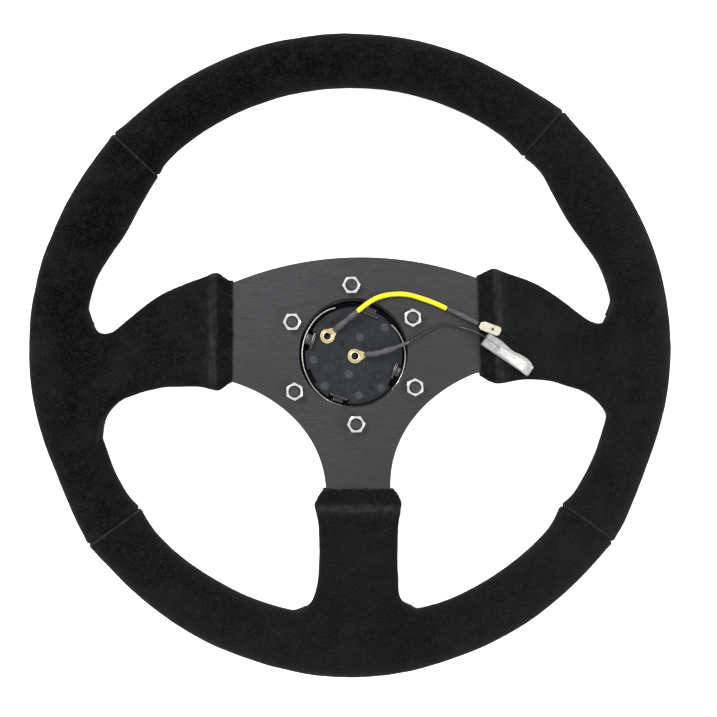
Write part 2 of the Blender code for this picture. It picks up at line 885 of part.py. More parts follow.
def ring_terminal(name, centre, angle):
    """A flat ring with a tongue that rises towards its wire."""
    neck = 1.6
    turns = [math.radians(24 + 312 * i / 13) for i in range(14)]
    ring = [(RING_TERMINAL_RADIUS * math.cos(t), RING_TERMINAL_RADIUS * math.sin(t)) for t in turns]
    outline = ring + [(4.6, -neck), (TONGUE_END, -1.0), (TONGUE_END, 1.0), (4.6, neck)]
    low = RING_TERMINAL_Z - RING_TERMINAL_THICKNESS / 2
    high = low + RING_TERMINAL_THICKNESS
    outlines = [outline, circle(EYELET_CLEAR, count=12)]
    tag = mesh_from_curve(flat_solid(name, outlines, low, high, brass()))
    build = bmesh.new()
    build.from_mesh(tag.data)
    fold = Vector((RING_TERMINAL_RADIUS * MM, 0, 0))
    cut_across(build, fold, (1, 0, 0))
    for vert in build.verts:
        vert.co.z += max(vert.co.x / MM - RING_TERMINAL_RADIUS, 0.0) * TONGUE_SLOPE * MM
    build.to_mesh(tag.data)
    build.free()
    turn = Matrix.Rotation(math.radians(angle), 4, "Z")
    shift = Matrix.Translation(Vector((centre[0], centre[1], 0.0)) * MM)
    tag.matrix_world = shift @ turn @ tag.matrix_world
    return tag


def snap_ring():
    """The wire clip in the housing's groove."""
    count = 28
    points = []
    for i in range(count):
        degrees = SNAP_RING_FROM + (SNAP_RING_TO - SNAP_RING_FROM) * i / (count - 1)
        turn = math.radians(degrees)
        x = SNAP_RING_RADIUS * math.cos(turn)
        y = SNAP_RING_RADIUS * math.sin(turn)
        points.append((x, y, SNAP_RING_Z))
    return tube("snap_ring", points, SNAP_RING_WIRE, spring_wire())


def return_spring():
    count = round(SPRING_TURNS * 10)
    points = []
    for i in range(count + 1):
        turn = 2 * math.pi * SPRING_TURNS * i / count
        height = SPRING_LOW_Z + (SPRING_TOP_Z - SPRING_LOW_Z) * i / count
        x = SPRING_RADIUS * math.cos(turn)
        y = SPRING_RADIUS * math.sin(turn)
        points.append((x, y, height))
    return tube("return_spring", points, SPRING_WIRE, spring_wire())


def button_cap():
    """The domed cap that the driver presses, lipped to stay in the housing."""
    profile = [
        (0.0, 34.2),
        (17.0, 34.2),
        (17.0, 40.6),
        (18.6, 40.6),
        (18.6, 34.4),
        (22.6, 35.6),
        (22.6, 40.5),
        (25.2, 40.5),
        (25.2, 39.3),
        (24.2, 39.3),
        (24.2, 35.0),
        (23.0, 33.4),
        (20.0, 32.2),
        (15.4, 31.5),
        (15.2, 32.6),
        (0.0, 32.6),
    ]
    return turned("button_cap", profile, gloss_plastic())


def cap_insert():
    profile = [(0.0, 32.3), (14.8, 32.3), (14.8, 31.7), (8.0, 31.4), (0.0, 31.3)]
    return turned("cap_insert", profile, anodised_aluminium(), steps=24)


def contact_disc():
    outlines = [
        circle(21.2, count=28),
        circle(10.0, count=20),
        circle(3.7, SIDE_EYELET, 12),
    ]
    disc = flat_solid("contact_disc", outlines, DISC_TOP_Z - 0.5, DISC_TOP_Z, brass())
    return mesh_from_curve(disc)


def horn_button():
    """The moving pieces, under an empty on the steering axis."""
    slide = bpy.data.objects.new("horn_press", None)
    PARTS.objects.link(slide)
    for piece in (button_cap(), cap_insert(), contact_disc()):
        piece.parent = slide


# ---------------------------------------------------------------- leads


def smooth_route(route, count):
    """Evenly spaced points on a smooth curve through the route's points."""
    ends = [route[0]] + route + [route[-1]]
    dense = []
    for a, b, c, d in zip(ends, ends[1:], ends[2:], ends[3:]):
        a, b, c, d = Vector(a), Vector(b), Vector(c), Vector(d)
        for i in range(16):
            t = i / 16
            point = 0.5 * (
                2 * b
                + (c - a) * t
                + (2 * a - 5 * b + 4 * c - d) * t * t
                + (3 * b - a - 3 * c + d) * t**3
            )
            dense.append(point)
    dense.append(Vector(route[-1]))
    lengths = [0.0]
    for p, q in zip(dense, dense[1:]):
        lengths.append(lengths[-1] + (q - p).length)
    points = []
    step = 0
    for i in range(count):
        goal = lengths[-1] * i / (count - 1)
        while step < len(lengths) - 2 and lengths[step + 1] < goal:
            step += 1
        run = lengths[step + 1] - lengths[step]
        share = (goal - lengths[step]) / run if run else 0.0
        points.append(dense[step].lerp(dense[step + 1], share))
    return points


def tube(name, points, radius, finish, wall=0.0):
    """A round wire, or a sleeve with an open bore where a wall is given."""
    curve = bpy.data.curves.new(name, "CURVE")
    curve.dimensions = "3D"
    curve.fill_mode = "FULL"
    curve.bevel_depth = radius * MM
    curve.bevel_resolution = 2
    curve.use_fill_caps = wall == 0.0
    spline = curve.splines.new("POLY")
    spline.points.add(len(points) - 1)
    for place, point in zip(spline.points, points):
        place.co = (*(Vector(point) * MM), 1.0)
    obj = add_object(name, curve, finish)
    if wall:
        hollow = obj.modifiers.new("wall", "SOLIDIFY")
        hollow.thickness = wall * MM
        hollow.offset = -1.0
        hollow.use_even_offset = True
    return obj


def sleeve(name, points, stretch, finish):
    """A sleeve over a share of a wire's points."""
    first, last, radius = stretch
    low = round(first * (len(points) - 1))
    high = round(last * (len(points) - 1))
    run = list(points[low : high + 1])
    trim = (run[1] - run[0]).normalized() * (GAP if low else 0.0)
    run[0] = run[0] + trim
    return tube(name, run, radius, finish, SLEEVE_WALL)


def side_lead():
    points = smooth_route(SIDE_ROUTE, WIRE_POINTS)
    tube("wire_side", points, SIDE_WIRE_RADIUS, black_insulation())
    sleeve("shrink_sleeve_side", points, SIDE_SHRINK, dark_sleeving())
    sleeve("yellow_sleeve", points, YELLOW_SLEEVE, yellow_sleeving())
    sleeve("dark_sleeve", points, DARK_SLEEVE, dark_sleeving())


def centre_lead():
    points = smooth_route(CENTRE_ROUTE, WIRE_POINTS)
    tube("wire_centre", points, CENTRE_WIRE_RADIUS, black_insulation())
    sleeve("shrink_sleeve_centre", points, CENTRE_SHRINK, dark_sleeving())


def aim(place, turn, pitch):
    """Matrix that lays a piece's own X axis along a heading and a pitch."""
    shift = Matrix.Translation(Vector(place) * MM)
    heading = Matrix.Rotation(math.radians(turn), 4, "Z")
    return shift @ heading @ Matrix.Rotation(math.radians(-pitch), 4, "Y")


def tab_terminal():
    """The bare blade on the side lead, with its locking hole."""
    end = TAB_LENGTH / 2
    half = TAB_WIDTH / 2
    outline = [
        (-end, half - 1.3),
        (-end, 0.9 - half),
        (-end + 1.2, -half),
        (end - 1.0, -half),
        (end, 1.0 - half),
        (end, half - 1.0),
        (end - 1.0, half),
        (-end + 1.9, half),
    ]
    outlines = [outline, circle(0.6, (1.4, 0.0), 10)]
    thick = TAB_THICKNESS / 2
    tab = mesh_from_curve(flat_solid("tab_terminal", outlines, -thick, thick, tinned_brass()))
    tab.matrix_world = aim(TAB_CENTRE, TAB_TURN, TAB_PITCH)
    return tab


def cover_ring(along, shrink):
    """Section of the clear cover, with a waist at the middle of its upper side."""
    upper = line_between(
        [(0.0, 3.65), (6.0, 3.65), (13.0, 2.5), (16.0, 2.5), (19.0, 3.4), (25.5, 3.4), (28.4, 1.9)],
        along,
    )[0]
    high = upper - shrink
    low = -COVER_WIDTH / 2 + shrink
    half = COVER_HEIGHT / 2 - shrink
    corner = 1.1 - shrink * 0.8
    points = []
    for across, up, start in (
        (high - corner, half - corner, 0),
        (low + corner, half - corner, 90),
        (low + corner, corner - half, 180),
        (high - corner, corner - half, 270),
    ):
        for turn in (0, 45, 90):
            angle = math.radians(start + turn)
            points.append((along, across + corner * math.cos(angle), up + corner * math.sin(angle)))
    return points


def clear_cover():
    """The clear sleeve over the spade, open at the wire's end and with a mouth at the far end."""
    stations = [0.0, 6.0, 13.0, 16.0, 19.0, 25.5, COVER_LENGTH]
    body = loft("clear_cover", [cover_ring(x, 0.0) for x in stations], clear_vinyl())
    inner = [cover_ring(x, COVER_WALL) for x in stations]
    inner[0] = [(-1.0, y, z) for x, y, z in inner[0]]
    inner[-1] = [(COVER_LENGTH + 1.0, y, z) for x, y, z in inner[-1]]
    space = loft("cover_space", inner)
    place = aim(COVER_MOUTH, COVER_TURN, COVER_PITCH)
    body.matrix_world = place
    space.matrix_world = place
    return combine(body, space, "DIFFERENCE")


def spade_receptacle():
    """The female spade: a flat strip whose edges roll over to grip a blade."""
    half = SPADE_WIDTH / 2
    rise = SPADE_HEIGHT / 2
    section = [
        (half, -rise),
        (half, rise),
        (SPADE_SLOT / 2, rise),
        (SPADE_SLOT / 2, rise - SPADE_SHEET),
        (half - SPADE_SHEET, rise - SPADE_SHEET),
        (half - SPADE_SHEET, SPADE_SHEET - rise),
        (SPADE_SHEET - half, SPADE_SHEET - rise),
        (SPADE_SHEET - half, rise - SPADE_SHEET),
        (-SPADE_SLOT / 2, rise - SPADE_SHEET),
        (-SPADE_SLOT / 2, rise),
        (-half, rise),
        (-half, -rise),
    ]
    shift = -0.6
    rings = []
    for along in (0.0, SPADE_LENGTH - 7.0, SPADE_LENGTH):
        narrow = 0.82 if along == 0.0 else 1.0
        rings.append([(SPADE_START + along, y * narrow + shift, z) for y, z in section])
    rings[0] = [(x, y * 0.8, z) for x, y, z in rings[0]]
    spade = loft("spade_receptacle", rings, tinned_brass())
    spade.matrix_world = aim(COVER_MOUTH, COVER_TURN, COVER_PITCH)
    return spade


def build():
    spoke_plate()
    rim_core()
    rim_foam()
    rim_covers()
    trim_ring()
    for index in range(BOLT_COUNT):
        screw(index)
        nut(index)
    horn_housing()
    horn_base()
    contact_ring()
    eyelet("eyelet_centre", CENTRE_EYELET, 43.8, 3.2)
    eyelet("eyelet_side", SIDE_EYELET, 43.0, 3.0)
    ring_terminal("ring_terminal_centre", CENTRE_EYELET, CENTRE_LEAD_ANGLE)
    ring_terminal("ring_terminal_side", SIDE_EYELET, SIDE_LEAD_ANGLE)
    snap_ring()
    return_spring()
    horn_button()
    side_lead()
    centre_lead()
    tab_terminal()
    clear_cover()
    spade_receptacle()


build()
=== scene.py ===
"""Looks for a three-spoke suede steering wheel that lies face down, seen from the column side.

Lengths are in millimetres up to the moment when a mesh, a curve or a modifier takes them.
"""

import math
from math import asin, atan2, cos, exp, pi, radians, sin, sqrt, tan

import bmesh
import bpy
from mathutils import Matrix, Vector, noise
from mathutils.bvhtree import BVHTree


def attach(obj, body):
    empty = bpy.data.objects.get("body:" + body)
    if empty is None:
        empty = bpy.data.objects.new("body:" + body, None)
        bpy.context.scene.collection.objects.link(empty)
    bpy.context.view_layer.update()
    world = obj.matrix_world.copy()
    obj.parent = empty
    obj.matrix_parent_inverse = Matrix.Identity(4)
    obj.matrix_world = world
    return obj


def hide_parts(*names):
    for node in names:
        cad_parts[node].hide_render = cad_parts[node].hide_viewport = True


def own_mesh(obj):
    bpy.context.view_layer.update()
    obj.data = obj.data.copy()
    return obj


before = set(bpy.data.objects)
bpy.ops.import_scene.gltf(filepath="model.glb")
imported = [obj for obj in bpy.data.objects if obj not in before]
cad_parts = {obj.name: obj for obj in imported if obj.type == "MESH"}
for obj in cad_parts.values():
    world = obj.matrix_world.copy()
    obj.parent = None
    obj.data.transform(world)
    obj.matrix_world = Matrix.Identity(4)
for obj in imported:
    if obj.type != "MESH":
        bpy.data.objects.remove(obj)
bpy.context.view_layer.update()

MM = 0.001
UP = Vector((0, 0, 1))
WHITE = (1.0, 1.0, 1.0, 1.0)

# Camera and light: mm, radians about its own axes, and the point in metres that the lights face.
CAMERA_LENS = 46.92
CAMERA_PLACE = (-10.8155, -0.389, 525.23)
CAMERA_TURN = (-0.0035, -0.0280, -0.0350)
LIGHT_TARGET = Vector((0.0, 0.0, 0.03))

# Rim: degrees from +X, outer radius, inner radius, with the swells of a hand-wrapped rim.
RIM_MID_Z = 14.5
RIM_HALF_DEPTH = 14.5
RIM_KEYS = [
    (0, 175.2, 145), (12, 175.5, 145.8), (18, 175.6, 144.9), (24, 175.4, 141.6),
    (30, 175.3, 140), (36, 175.3, 141.3), (42, 175.4, 144.4), (48, 176.3, 144.6),
    (54, 174.9, 145.8), (72, 174.9, 146.2), (90, 174.8, 146.1), (108, 174.8, 145.9),
    (126, 174.5, 145.9), (132, 174.7, 145.2), (135, 175.5, 143.8), (138, 175.1, 142.2),
    (144, 174.8, 140.2), (150, 174.7, 139.6), (156, 174.6, 142), (162, 174.9, 144.8),
    (174, 174.4, 145), (186, 173.8, 144), (198, 172.3, 143), (204, 172.5, 143.8),
    (210, 174.3, 143.7), (214.5, 175.5, 142.6), (220, 174.5, 144.1), (240, 174.7, 143.7),
    (252, 174.8, 143.4), (264, 175.9, 143.2), (276, 175.7, 143.4), (288, 175.1, 144.6),
    (300, 175.2, 144.5), (317, 175.4, 144.4), (321.8, 176.1, 142.5), (326, 175.6, 144.3),
    (330, 174.4, 144.6), (336, 173.2, 144.9), (342, 173.2, 144.5), (350, 174.4, 145),
    (360, 175.2, 145),
]
SEAMS = {"upper_right": 47.0, "upper_left": 135.15, "lower_left": 213.75, "lower_right": 322.3}
SUEDE = 1.2
HEM_HALF = 3.8

# Suede outlines of the spokes: distance along the arm, one edge, the other edge.
RIGHT_SPOKE = [
    (57, 36.6, -11.6), (64.5, 37.9, -12.8), (68, 39.6, -15.2), (72, 41.6, -17.4),
    (76.3, 40.2, -17.2), (86, 36.9, -16), (94.8, 33.9, -16.4), (103.9, 29.5, -17.7),
    (113.5, 23.9, -20.8), (123.2, 17.3, -23.9), (130.5, 13.5, -27.9), (137.5, 12.8, -35.3),
    (141.6, 17.5, -43), (144, 25, -47), (158, 34, -50),
]
LEFT_SPOKE = [
    (54, 38.2, -9.9), (60.8, 39.5, -11.2), (64, 41.4, -12.6), (66.5, 43.4, -14.5),
    (69, 43.8, -16), (72.2, 42.5, -15), (76.3, 41.1, -14), (82.5, 39.3, -13.3),
    (89, 37.2, -13.4), (96, 34.7, -13.4), (103, 31.5, -14.4), (110.4, 27.3, -15.8),
    (118, 22.4, -18), (123.5, 18.9, -19.9), (127.5, 16.6, -22.6), (132, 15.9, -26.9),
    (134.6, 16.1, -30.8), (136.6, 17, -36), (138.6, 19.2, -46), (141.2, 24.6, -52),
    (142.6, 31, -54), (158, 40, -56),
]
LOWER_SPOKE = [
    (61, 16.6, -16.9), (68.3, 17.6, -17.9), (72, 20, -20.9), (75.4, 21.8, -22.7),
    (79, 21.4, -21.9), (88.2, 20.1, -20.9), (100, 19.8, -21.1), (112.8, 20, -22),
    (120, 20.5, -22.9), (127.2, 20.6, -24.5), (132.8, 21.6, -26.8), (136.5, 24.2, -30.4),
    (139.5, 29.4, -38), (158, 42, -46),
]
RIGHT_HEM = 64.5
LEFT_HEM = 61.4
LOWER_HEM = 68.3
# Two hems run a little askew: mm along the arm per mm across it.
LEFT_HEM_SLANT = -0.039
LOWER_HEM_SLANT = 0.044
# Half thickness of a wrapped arm, by distance past the hem.
WRAP_HALF = [(-6, 3.8), (0, 3.8), (3.5, 5), (8, 7), (14, 6.4), (46, 7.2), (66, 9.5), (86, 11.5)]

# Spoke plate.
PLATE_BACK_Z = 52.5
PLATE_FRONT_Z = 47.5
PLATE_MID_Z = 50.0
BEND_START = 74.0
BEND_END = 150.0
BOLT_RADIUS = 35.0
HOLE_CENTRE = (-0.1, 0.85)
NUT_TURNS = [0.0, 0.0, 30.0, 0.0, 30.0, 30.0]

# Horn button.
SIDE_EYELET = (-12.95, 9.84)
CENTRE_EYELET = (0.7, -0.8)
BASE_BACK_Z = 47.5
SPRING_LOW_Z = 34.9

# Leads: the middle of each wire, from its eyelet outwards.
SIDE_ROUTE = [
    (-7.55, 13.97, 50.3), (-4.6, 16.2, 51.5), (-0.4, 19.4, 52.8), (3.35, 22.3, 53.8),
    (7.6, 25.4, 54.5), (12.6, 28.1, 54.6), (18.2, 29.5, 54.4), (23.9, 29.8, 54.2),
    (29.3, 29.1, 54.15), (34.3, 27.5, 54.15), (41.3, 24.8, 54.15), (48, 21.5, 54.3),
    (52, 19.5, 54.7), (55.9, 17.5, 55.7), (59.4, 15.4, 57.4), (62.8, 13.3, 59.2),
]
CENTRE_ROUTE = [
    (7.5, -0.1, 50.3), (12, 0.35, 51.5), (16.6, 1.4, 52.4), (21.1, 2.75, 53.3),
    (27.4, 5.1, 54.4), (32.2, 7.5, 54.2), (38.4, 10.6, 53.6), (44.9, 13.2, 53.4),
    (50.2, 12.9, 53.6), (54.6, 11.9, 54.5), (59, 10.4, 56.7), (62.8, 8.5, 58.7),
    (66.2, 6.3, 59.4), (70.4, 3.1, 59), (73.2, 1, 58.75),
]
TAB_PLACE = ((68.4, 10.7, 61.0), -24.0, 12.0)
COVER_PLACE = ((66.0, 5.6, 59.45), -35.5, -5.2)
COVER_LENGTH = 28.4


# ---- camera and light


def linked(name, data):
    obj = bpy.data.objects.new(name, data)
    bpy.context.scene.collection.objects.link(obj)
    return obj


def place_camera():
    """The camera looks straight down on the wheel, a little from the left."""
    data = bpy.data.cameras.new("camera")
    data.sensor_width = 36.0
    data.lens = CAMERA_LENS
    data.clip_start = 0.01
    data.clip_end = 20.0
    camera = linked("camera", data)
    camera.matrix_world = Matrix.Translation(Vector(CAMERA_PLACE) * MM)
    for angle, axis in zip(CAMERA_TURN, "XYZ"):
        camera.matrix_world = camera.matrix_world @ Matrix.Rotation(angle, 4, axis)
    bpy.context.scene.camera = camera


def area_light(name, place, size, power):
    data = bpy.data.lights.new(name, "AREA")
    data.shape = "DISK"
    data.size = size
    data.energy = power
    turn = (LIGHT_TARGET - Vector(place)).to_track_quat("-Z", "Y").to_matrix().to_4x4()
    linked(name, data).matrix_world = Matrix.Translation(place) @ turn


def light_studio():
    world = bpy.data.worlds.new("studio")
    bpy.context.scene.world = world
    world.use_nodes = True
    put(world.node_tree.nodes["Background"], Color=WHITE, Strength=0.9)
    area_light("key", (-0.9, 0.9, 1.5), 0.9, 26.0)
    area_light("fill", (1.1, -0.3, 1.2), 1.0, 12.0)
    bpy.context.scene.view_settings.view_transform = "Standard"


# ---- materials


def put(node, **values):
    """Set a node's input sockets; the underscores stand for spaces."""
    for socket, value in values.items():
        node.inputs[socket.replace("_", " ")].default_value = value


FINISHES = {}


class Finish:
    """A Principled material built up in layers.

    A layer's value is a node's output, or the size in mm of the noise that it is made of.
    """

    def __init__(self, key, name, colour, roughness, metallic=0.0, **sockets):
        self.material = FINISHES[key] = bpy.data.materials.new(name)
        self.material.use_nodes = True
        self.material.diffuse_color = (*colour, 1.0)
        self.nodes = self.material.node_tree.nodes
        self.link = self.material.node_tree.links.new
        self.shader = self.nodes["Principled BSDF"]
        put(self.shader, Base_Color=(*colour, 1.0), Roughness=roughness, Metallic=metallic)
        put(self.shader, **sockets)
        self.place = self.nodes.new("ShaderNodeTexCoord").outputs["Object"]
        self.colour = None
        self.normal = None

    def noise(self, size, stretch=(1.0, 1.0, 1.0), detail=3.0, low=0.35, high=0.65):
        """Noise with features about size mm across, spread to 0-1 between low and high."""
        mapping = self.nodes.new("ShaderNodeMapping")
        put(mapping, Scale=[1.0 / s for s in stretch])
        self.link(self.place, mapping.inputs["Vector"])
        texture = self.nodes.new("ShaderNodeTexNoise")
        put(texture, Scale=1.0 / (size * MM), Detail=detail)
        self.link(mapping.outputs["Vector"], texture.inputs["Vector"])
        return self.spread(texture.outputs["Fac"], low, high)

    def spread(self, value, low, high, to_low=0.0, to_high=1.0):
        ranged = self.nodes.new("ShaderNodeMapRange")
        put(ranged, From_Min=low, From_Max=high, To_Min=to_low, To_Max=to_high)
        self.link(value, ranged.inputs["Value"])
        return ranged.outputs["Result"]

    def towards(self, slope):
        """0-1 across the object, higher towards a direction in spans per metre."""
        product = self.nodes.new("ShaderNodeVectorMath")
        product.operation = "DOT_PRODUCT"
        product.inputs[1].default_value = slope
        self.link(self.place, product.inputs[0])
        return self.spread(product.outputs["Value"], -0.5, 0.5)

    def stored(self, name):
        """A value kept on the mesh's points."""
        node = self.nodes.new("ShaderNodeAttribute")
        node.attribute_name = name
        return node.outputs["Fac"]

    def layer(self, value, noise):
        return self.noise(value, **noise) if isinstance(value, float) else value

    def tint(self, value, colour, share=1.0, **noise):
        """Mix the colour so far towards another one where value is high."""
        mix = self.nodes.new("ShaderNodeMix")
        mix.data_type = "RGBA"
        factor = self.spread(self.layer(value, noise), 0.0, 1.0, 0.0, share)
        self.link(factor, mix.inputs["Factor"])
        before, after = mix.inputs[6:8]
        before.default_value = self.shader.inputs["Base Color"].default_value
        after.default_value = (*colour, 1.0)
        if self.colour:
            self.link(self.colour, before)
        self.colour = mix.outputs[2]
        self.link(self.colour, self.shader.inputs["Base Color"])
        return self

    def dull(self, value, smooth, rough, **noise):
        """Roughness between smooth and rough."""
        value = self.spread(self.layer(value, noise), 0.0, 1.0, smooth, rough)
        self.link(value, self.shader.inputs["Roughness"])
        return self

    def relief(self, value, depth, strength=1.0, **noise):
        """Raise the surface by depth mm where value is high."""
        bump = self.nodes.new("ShaderNodeBump")
        put(bump, Strength=strength, Distance=depth * MM)
        self.link(self.layer(value, noise), bump.inputs["Height"])
        if self.normal:
            self.link(self.normal, bump.inputs["Normal"])
        self.normal = bump.outputs["Normal"]
        self.link(self.normal, self.shader.inputs["Normal"])
        return self


def make_finishes():
    suede = Finish("suede", "black_suede", (0.0008, 0.0008, 0.0009), 0.95, Specular_IOR_Level=0.04)
    put(suede.shader, Sheen_Weight=0.025, Sheen_Roughness=0.5, Sheen_Tint=(0.60, 0.62, 0.66, 1.0))
    # Painted light and shade: the suede is lighter towards the lower right and darker towards the
    # upper left.
    suede.tint(suede.towards((2.2, -2.0, 0.0)), (0.0088, 0.0088, 0.0090), 0.9)
    suede.tint(60.0, (0.0026, 0.0026, 0.0029), 0.6, detail=4.0)
    suede.tint(22.0, (0.0140, 0.0141, 0.0146), 0.32, detail=6.0, low=0.48, high=0.72)
    suede.tint(5.0, (0.0105, 0.0106, 0.0115), 0.4, detail=5.0, low=0.48, high=0.75)
    suede.tint(1.3, (0.0175, 0.0177, 0.0190), 0.42, detail=5.0, low=0.47, high=0.72)
    # Lighter along the seams, where the suede is worn, and on the ridge past each hem, where a
    # painted highlight is mixed with wear.
    suede.tint(suede.stored("wear_and_highlight"), (0.040, 0.040, 0.042), 0.78)
    suede.relief(7.0, 0.35, 0.5, detail=2.0)
    suede.relief(0.9, 0.16, 0.8, detail=4.0, low=0.3, high=0.7)

    thread = Finish("thread", "black_thread", (0.005, 0.005, 0.0055), 0.75, Specular_IOR_Level=0.2)
    thread.tint(0.5, (0.012, 0.012, 0.013), 0.6, detail=2.0)
    thread.relief(0.35, 0.08, detail=1.0)

    plate = Finish("plate", "brushed_black_anodising", (0.014, 0.014, 0.016), 0.45)
    put(plate.shader, Specular_IOR_Level=0.42)
    brushed = plate.noise(0.45, stretch=(18.0, 1.0, 1.0), detail=4.0, low=0.3, high=0.7)
    plate.tint(brushed, (0.028, 0.028, 0.031), 0.9)
    fine = plate.noise(0.5, stretch=(7.0, 1.0, 1.0), detail=2.0, low=0.42, high=0.6)
    plate.tint(fine, (0.040, 0.040, 0.043), 0.45)
    plate.tint(50.0, (0.013, 0.013, 0.015), 0.5, detail=2.0)
    # Painted shade: the plate is darker towards the lower right.
    plate.tint(plate.towards((4.0, -3.0, 0.0)), (0.009, 0.009, 0.0105), 0.55)
    plate.dull(brushed, 0.38, 0.52)
    plate.relief(brushed, 0.010, 0.5)

    steel = Finish("steel", "mild_steel", (0.28, 0.28, 0.29), 0.5, 1.0)
    steel.tint(6.0, (0.20, 0.19, 0.18), 0.5).relief(1.0, 0.05)

    foam = Finish("foam", "moulded_foam", (0.045, 0.045, 0.047), 0.9)
    foam.tint(1.2, (0.07, 0.07, 0.072), 0.6, detail=4.0).relief(0.8, 0.2)

    zinc = Finish("zinc", "zinc_plate", (0.82, 0.83, 0.84), 0.22, 1.0)
    zinc.tint(1.6, (0.66, 0.67, 0.69), 0.5)
    zinc.dull(0.8, 0.16, 0.34, detail=4.0)
    zinc.relief(0.7, 0.02, 0.6, detail=3.0)

    screw = Finish("screw", "dark_screw_steel", (0.055, 0.055, 0.058), 0.40, 1.0)
    screw.tint(0.9, (0.12, 0.12, 0.125), 0.6, detail=4.0)
    screw.dull(0.5, 0.3, 0.5)

    plastic = Finish("plastic", "moulded_black_plastic", (0.009, 0.010, 0.0135), 0.36)
    put(plastic.shader, Specular_IOR_Level=0.28)
    plastic.tint(6.0, (0.013, 0.0145, 0.019), 0.6, detail=4.0)
    plastic.tint(0.8, (0.026, 0.028, 0.034), 0.5, detail=4.0, low=0.5, high=0.75)
    plastic.dull(3.0, 0.28, 0.46, detail=4.0)
    plastic.relief(0.5, 0.03, 0.5, detail=3.0)

    housing = Finish("housing", "polished_black_plastic", (0.0045, 0.0048, 0.0058), 0.13)
    put(housing.shader, Specular_IOR_Level=1.0)
    housing.tint(9.0, (0.007, 0.0075, 0.009), 0.6, detail=4.0)
    housing.dull(2.5, 0.09, 0.22, detail=4.0)
    housing.relief(1.2, 0.05, 0.5, detail=3.0)

    # Painted shade: a near-black plastic for the housing faces deep in the plate's hole, where
    # shade falls.
    recess_shade = Finish("recess_shade", "painted_shade_plastic", (0.0022, 0.0022, 0.0026), 0.5)
    put(recess_shade.shader, Specular_IOR_Level=0.12)
    recess_shade.tint(3.0, (0.0045, 0.0045, 0.005), 0.5, detail=4.0)

    pale = Finish("pale", "polished_mould_marks", (0.029, 0.031, 0.037), 0.5)
    put(pale.shader, Specular_IOR_Level=0.3)
    pale.tint(1.4, (0.052, 0.055, 0.063), 0.7, detail=5.0, low=0.4, high=0.65)
    pale.relief(0.6, 0.02, 0.5)

    gloss = Finish("gloss", "gloss_black_plastic", (0.010, 0.010, 0.011), 0.14, Coat_Weight=0.3)
    gloss.tint(20.0, (0.013, 0.013, 0.014), 0.5)
    gloss.dull(4.0, 0.10, 0.20, detail=5.0)
    gloss.relief(2.5, 0.01, 0.4)

    insert = Finish("insert", "brushed_insert", (0.10, 0.10, 0.105), 0.35, 0.8, Anisotropic=0.5)
    lines = insert.noise(0.3, stretch=(50.0, 1.0, 1.0), detail=2.0, low=0.3, high=0.7)
    insert.tint(lines, (0.16, 0.16, 0.165), 0.8).dull(lines, 0.28, 0.45).relief(lines, 0.01, 0.5)

    brass = Finish("brass", "brass", (0.92, 0.82, 0.56), 0.26, 1.0)
    brass.tint(1.1, (0.72, 0.58, 0.33), 0.6, detail=4.0, low=0.4, high=0.65)
    brass.dull(0.8, 0.18, 0.40, detail=4.0)
    brass.relief(0.6, 0.03, 0.5)

    # Painted shade: a dark brown for the inside of each eyelet's bore.
    bore = Finish("bore", "bore_painted_shade", (0.020, 0.010, 0.005), 0.35, 0.6)
    bore.tint(0.8, (0.045, 0.020, 0.008), 0.5)

    tag = Finish("tag", "dulled_brass", (0.62, 0.50, 0.26), 0.34, 1.0)
    tag.tint(1.3, (0.84, 0.72, 0.44), 0.6, detail=4.0)
    tag.dull(0.9, 0.26, 0.46)
    tag.relief(0.6, 0.03, 0.5)

    tinned = Finish("tinned", "tinned_brass", (0.50, 0.475, 0.41), 0.40, 0.9)
    tinned.tint(1.6, (0.36, 0.33, 0.26), 0.6, detail=5.0, low=0.42, high=0.62)
    tinned.dull(0.8, 0.30, 0.5)
    tinned.relief(0.5, 0.03, 0.5)

    silver = Finish("silver", "tinned_strip", (0.80, 0.80, 0.77), 0.26, 1.0)
    silver.tint(1.4, (0.52, 0.52, 0.50), 0.7, stretch=(4.0, 1.0, 1.0), detail=4.0)
    silver.dull(0.8, 0.2, 0.4)
    silver.relief(0.7, 0.05, 0.6)

    spring = Finish("spring", "spring_wire", (0.62, 0.61, 0.58), 0.34, 1.0)
    spring.tint(4.0, (0.40, 0.39, 0.36), 0.8).dull(0.6, 0.28, 0.42)

    wire = Finish("wire", "black_insulation", (0.012, 0.012, 0.014), 0.20)
    wire.tint(2.0, (0.028, 0.028, 0.031), 0.6).relief(0.6, 0.02, 0.4)

    dark = Finish("dark", "heat_shrink", (0.040, 0.040, 0.044), 0.55)
    dark.tint(1.6, (0.085, 0.085, 0.092), 0.7, detail=4.0)
    dark.dull(0.9, 0.45, 0.7)
    dark.relief(0.8, 0.08, 0.7, detail=3.0)

    yellow = Finish("yellow", "yellow_sleeving", (0.80, 0.68, 0.008), 0.34, Specular_IOR_Level=0.6)
    yellow.tint(3.0, (0.90, 0.80, 0.014), 0.7)
    yellow.dull(1.0, 0.26, 0.42)
    yellow.relief(1.2, 0.04, 0.5)

    vinyl = Finish("vinyl", "clear_vinyl", (0.97, 0.97, 0.965), 0.08, IOR=1.45)
    put(vinyl.shader, Transmission_Weight=0.84)
    vinyl.tint(4.0, (0.92, 0.92, 0.91), 0.5, detail=3.0)
    vinyl.dull(2.0, 0.06, 0.2)
    vinyl.relief(2.6, 0.16, 0.7, detail=3.0)


make_finishes()


# ---- shapes


def new_piece(name, data, finish, slot, *replaces, body="wheel"):
    """Link a mesh or a curve that is already in place, and put it on its body."""
    obj = linked(name, data)
    data.materials.clear()
    data.materials.append(FINISHES[finish])
    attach(obj, body)
    if replaces:
        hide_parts(*replaces)
    return obj


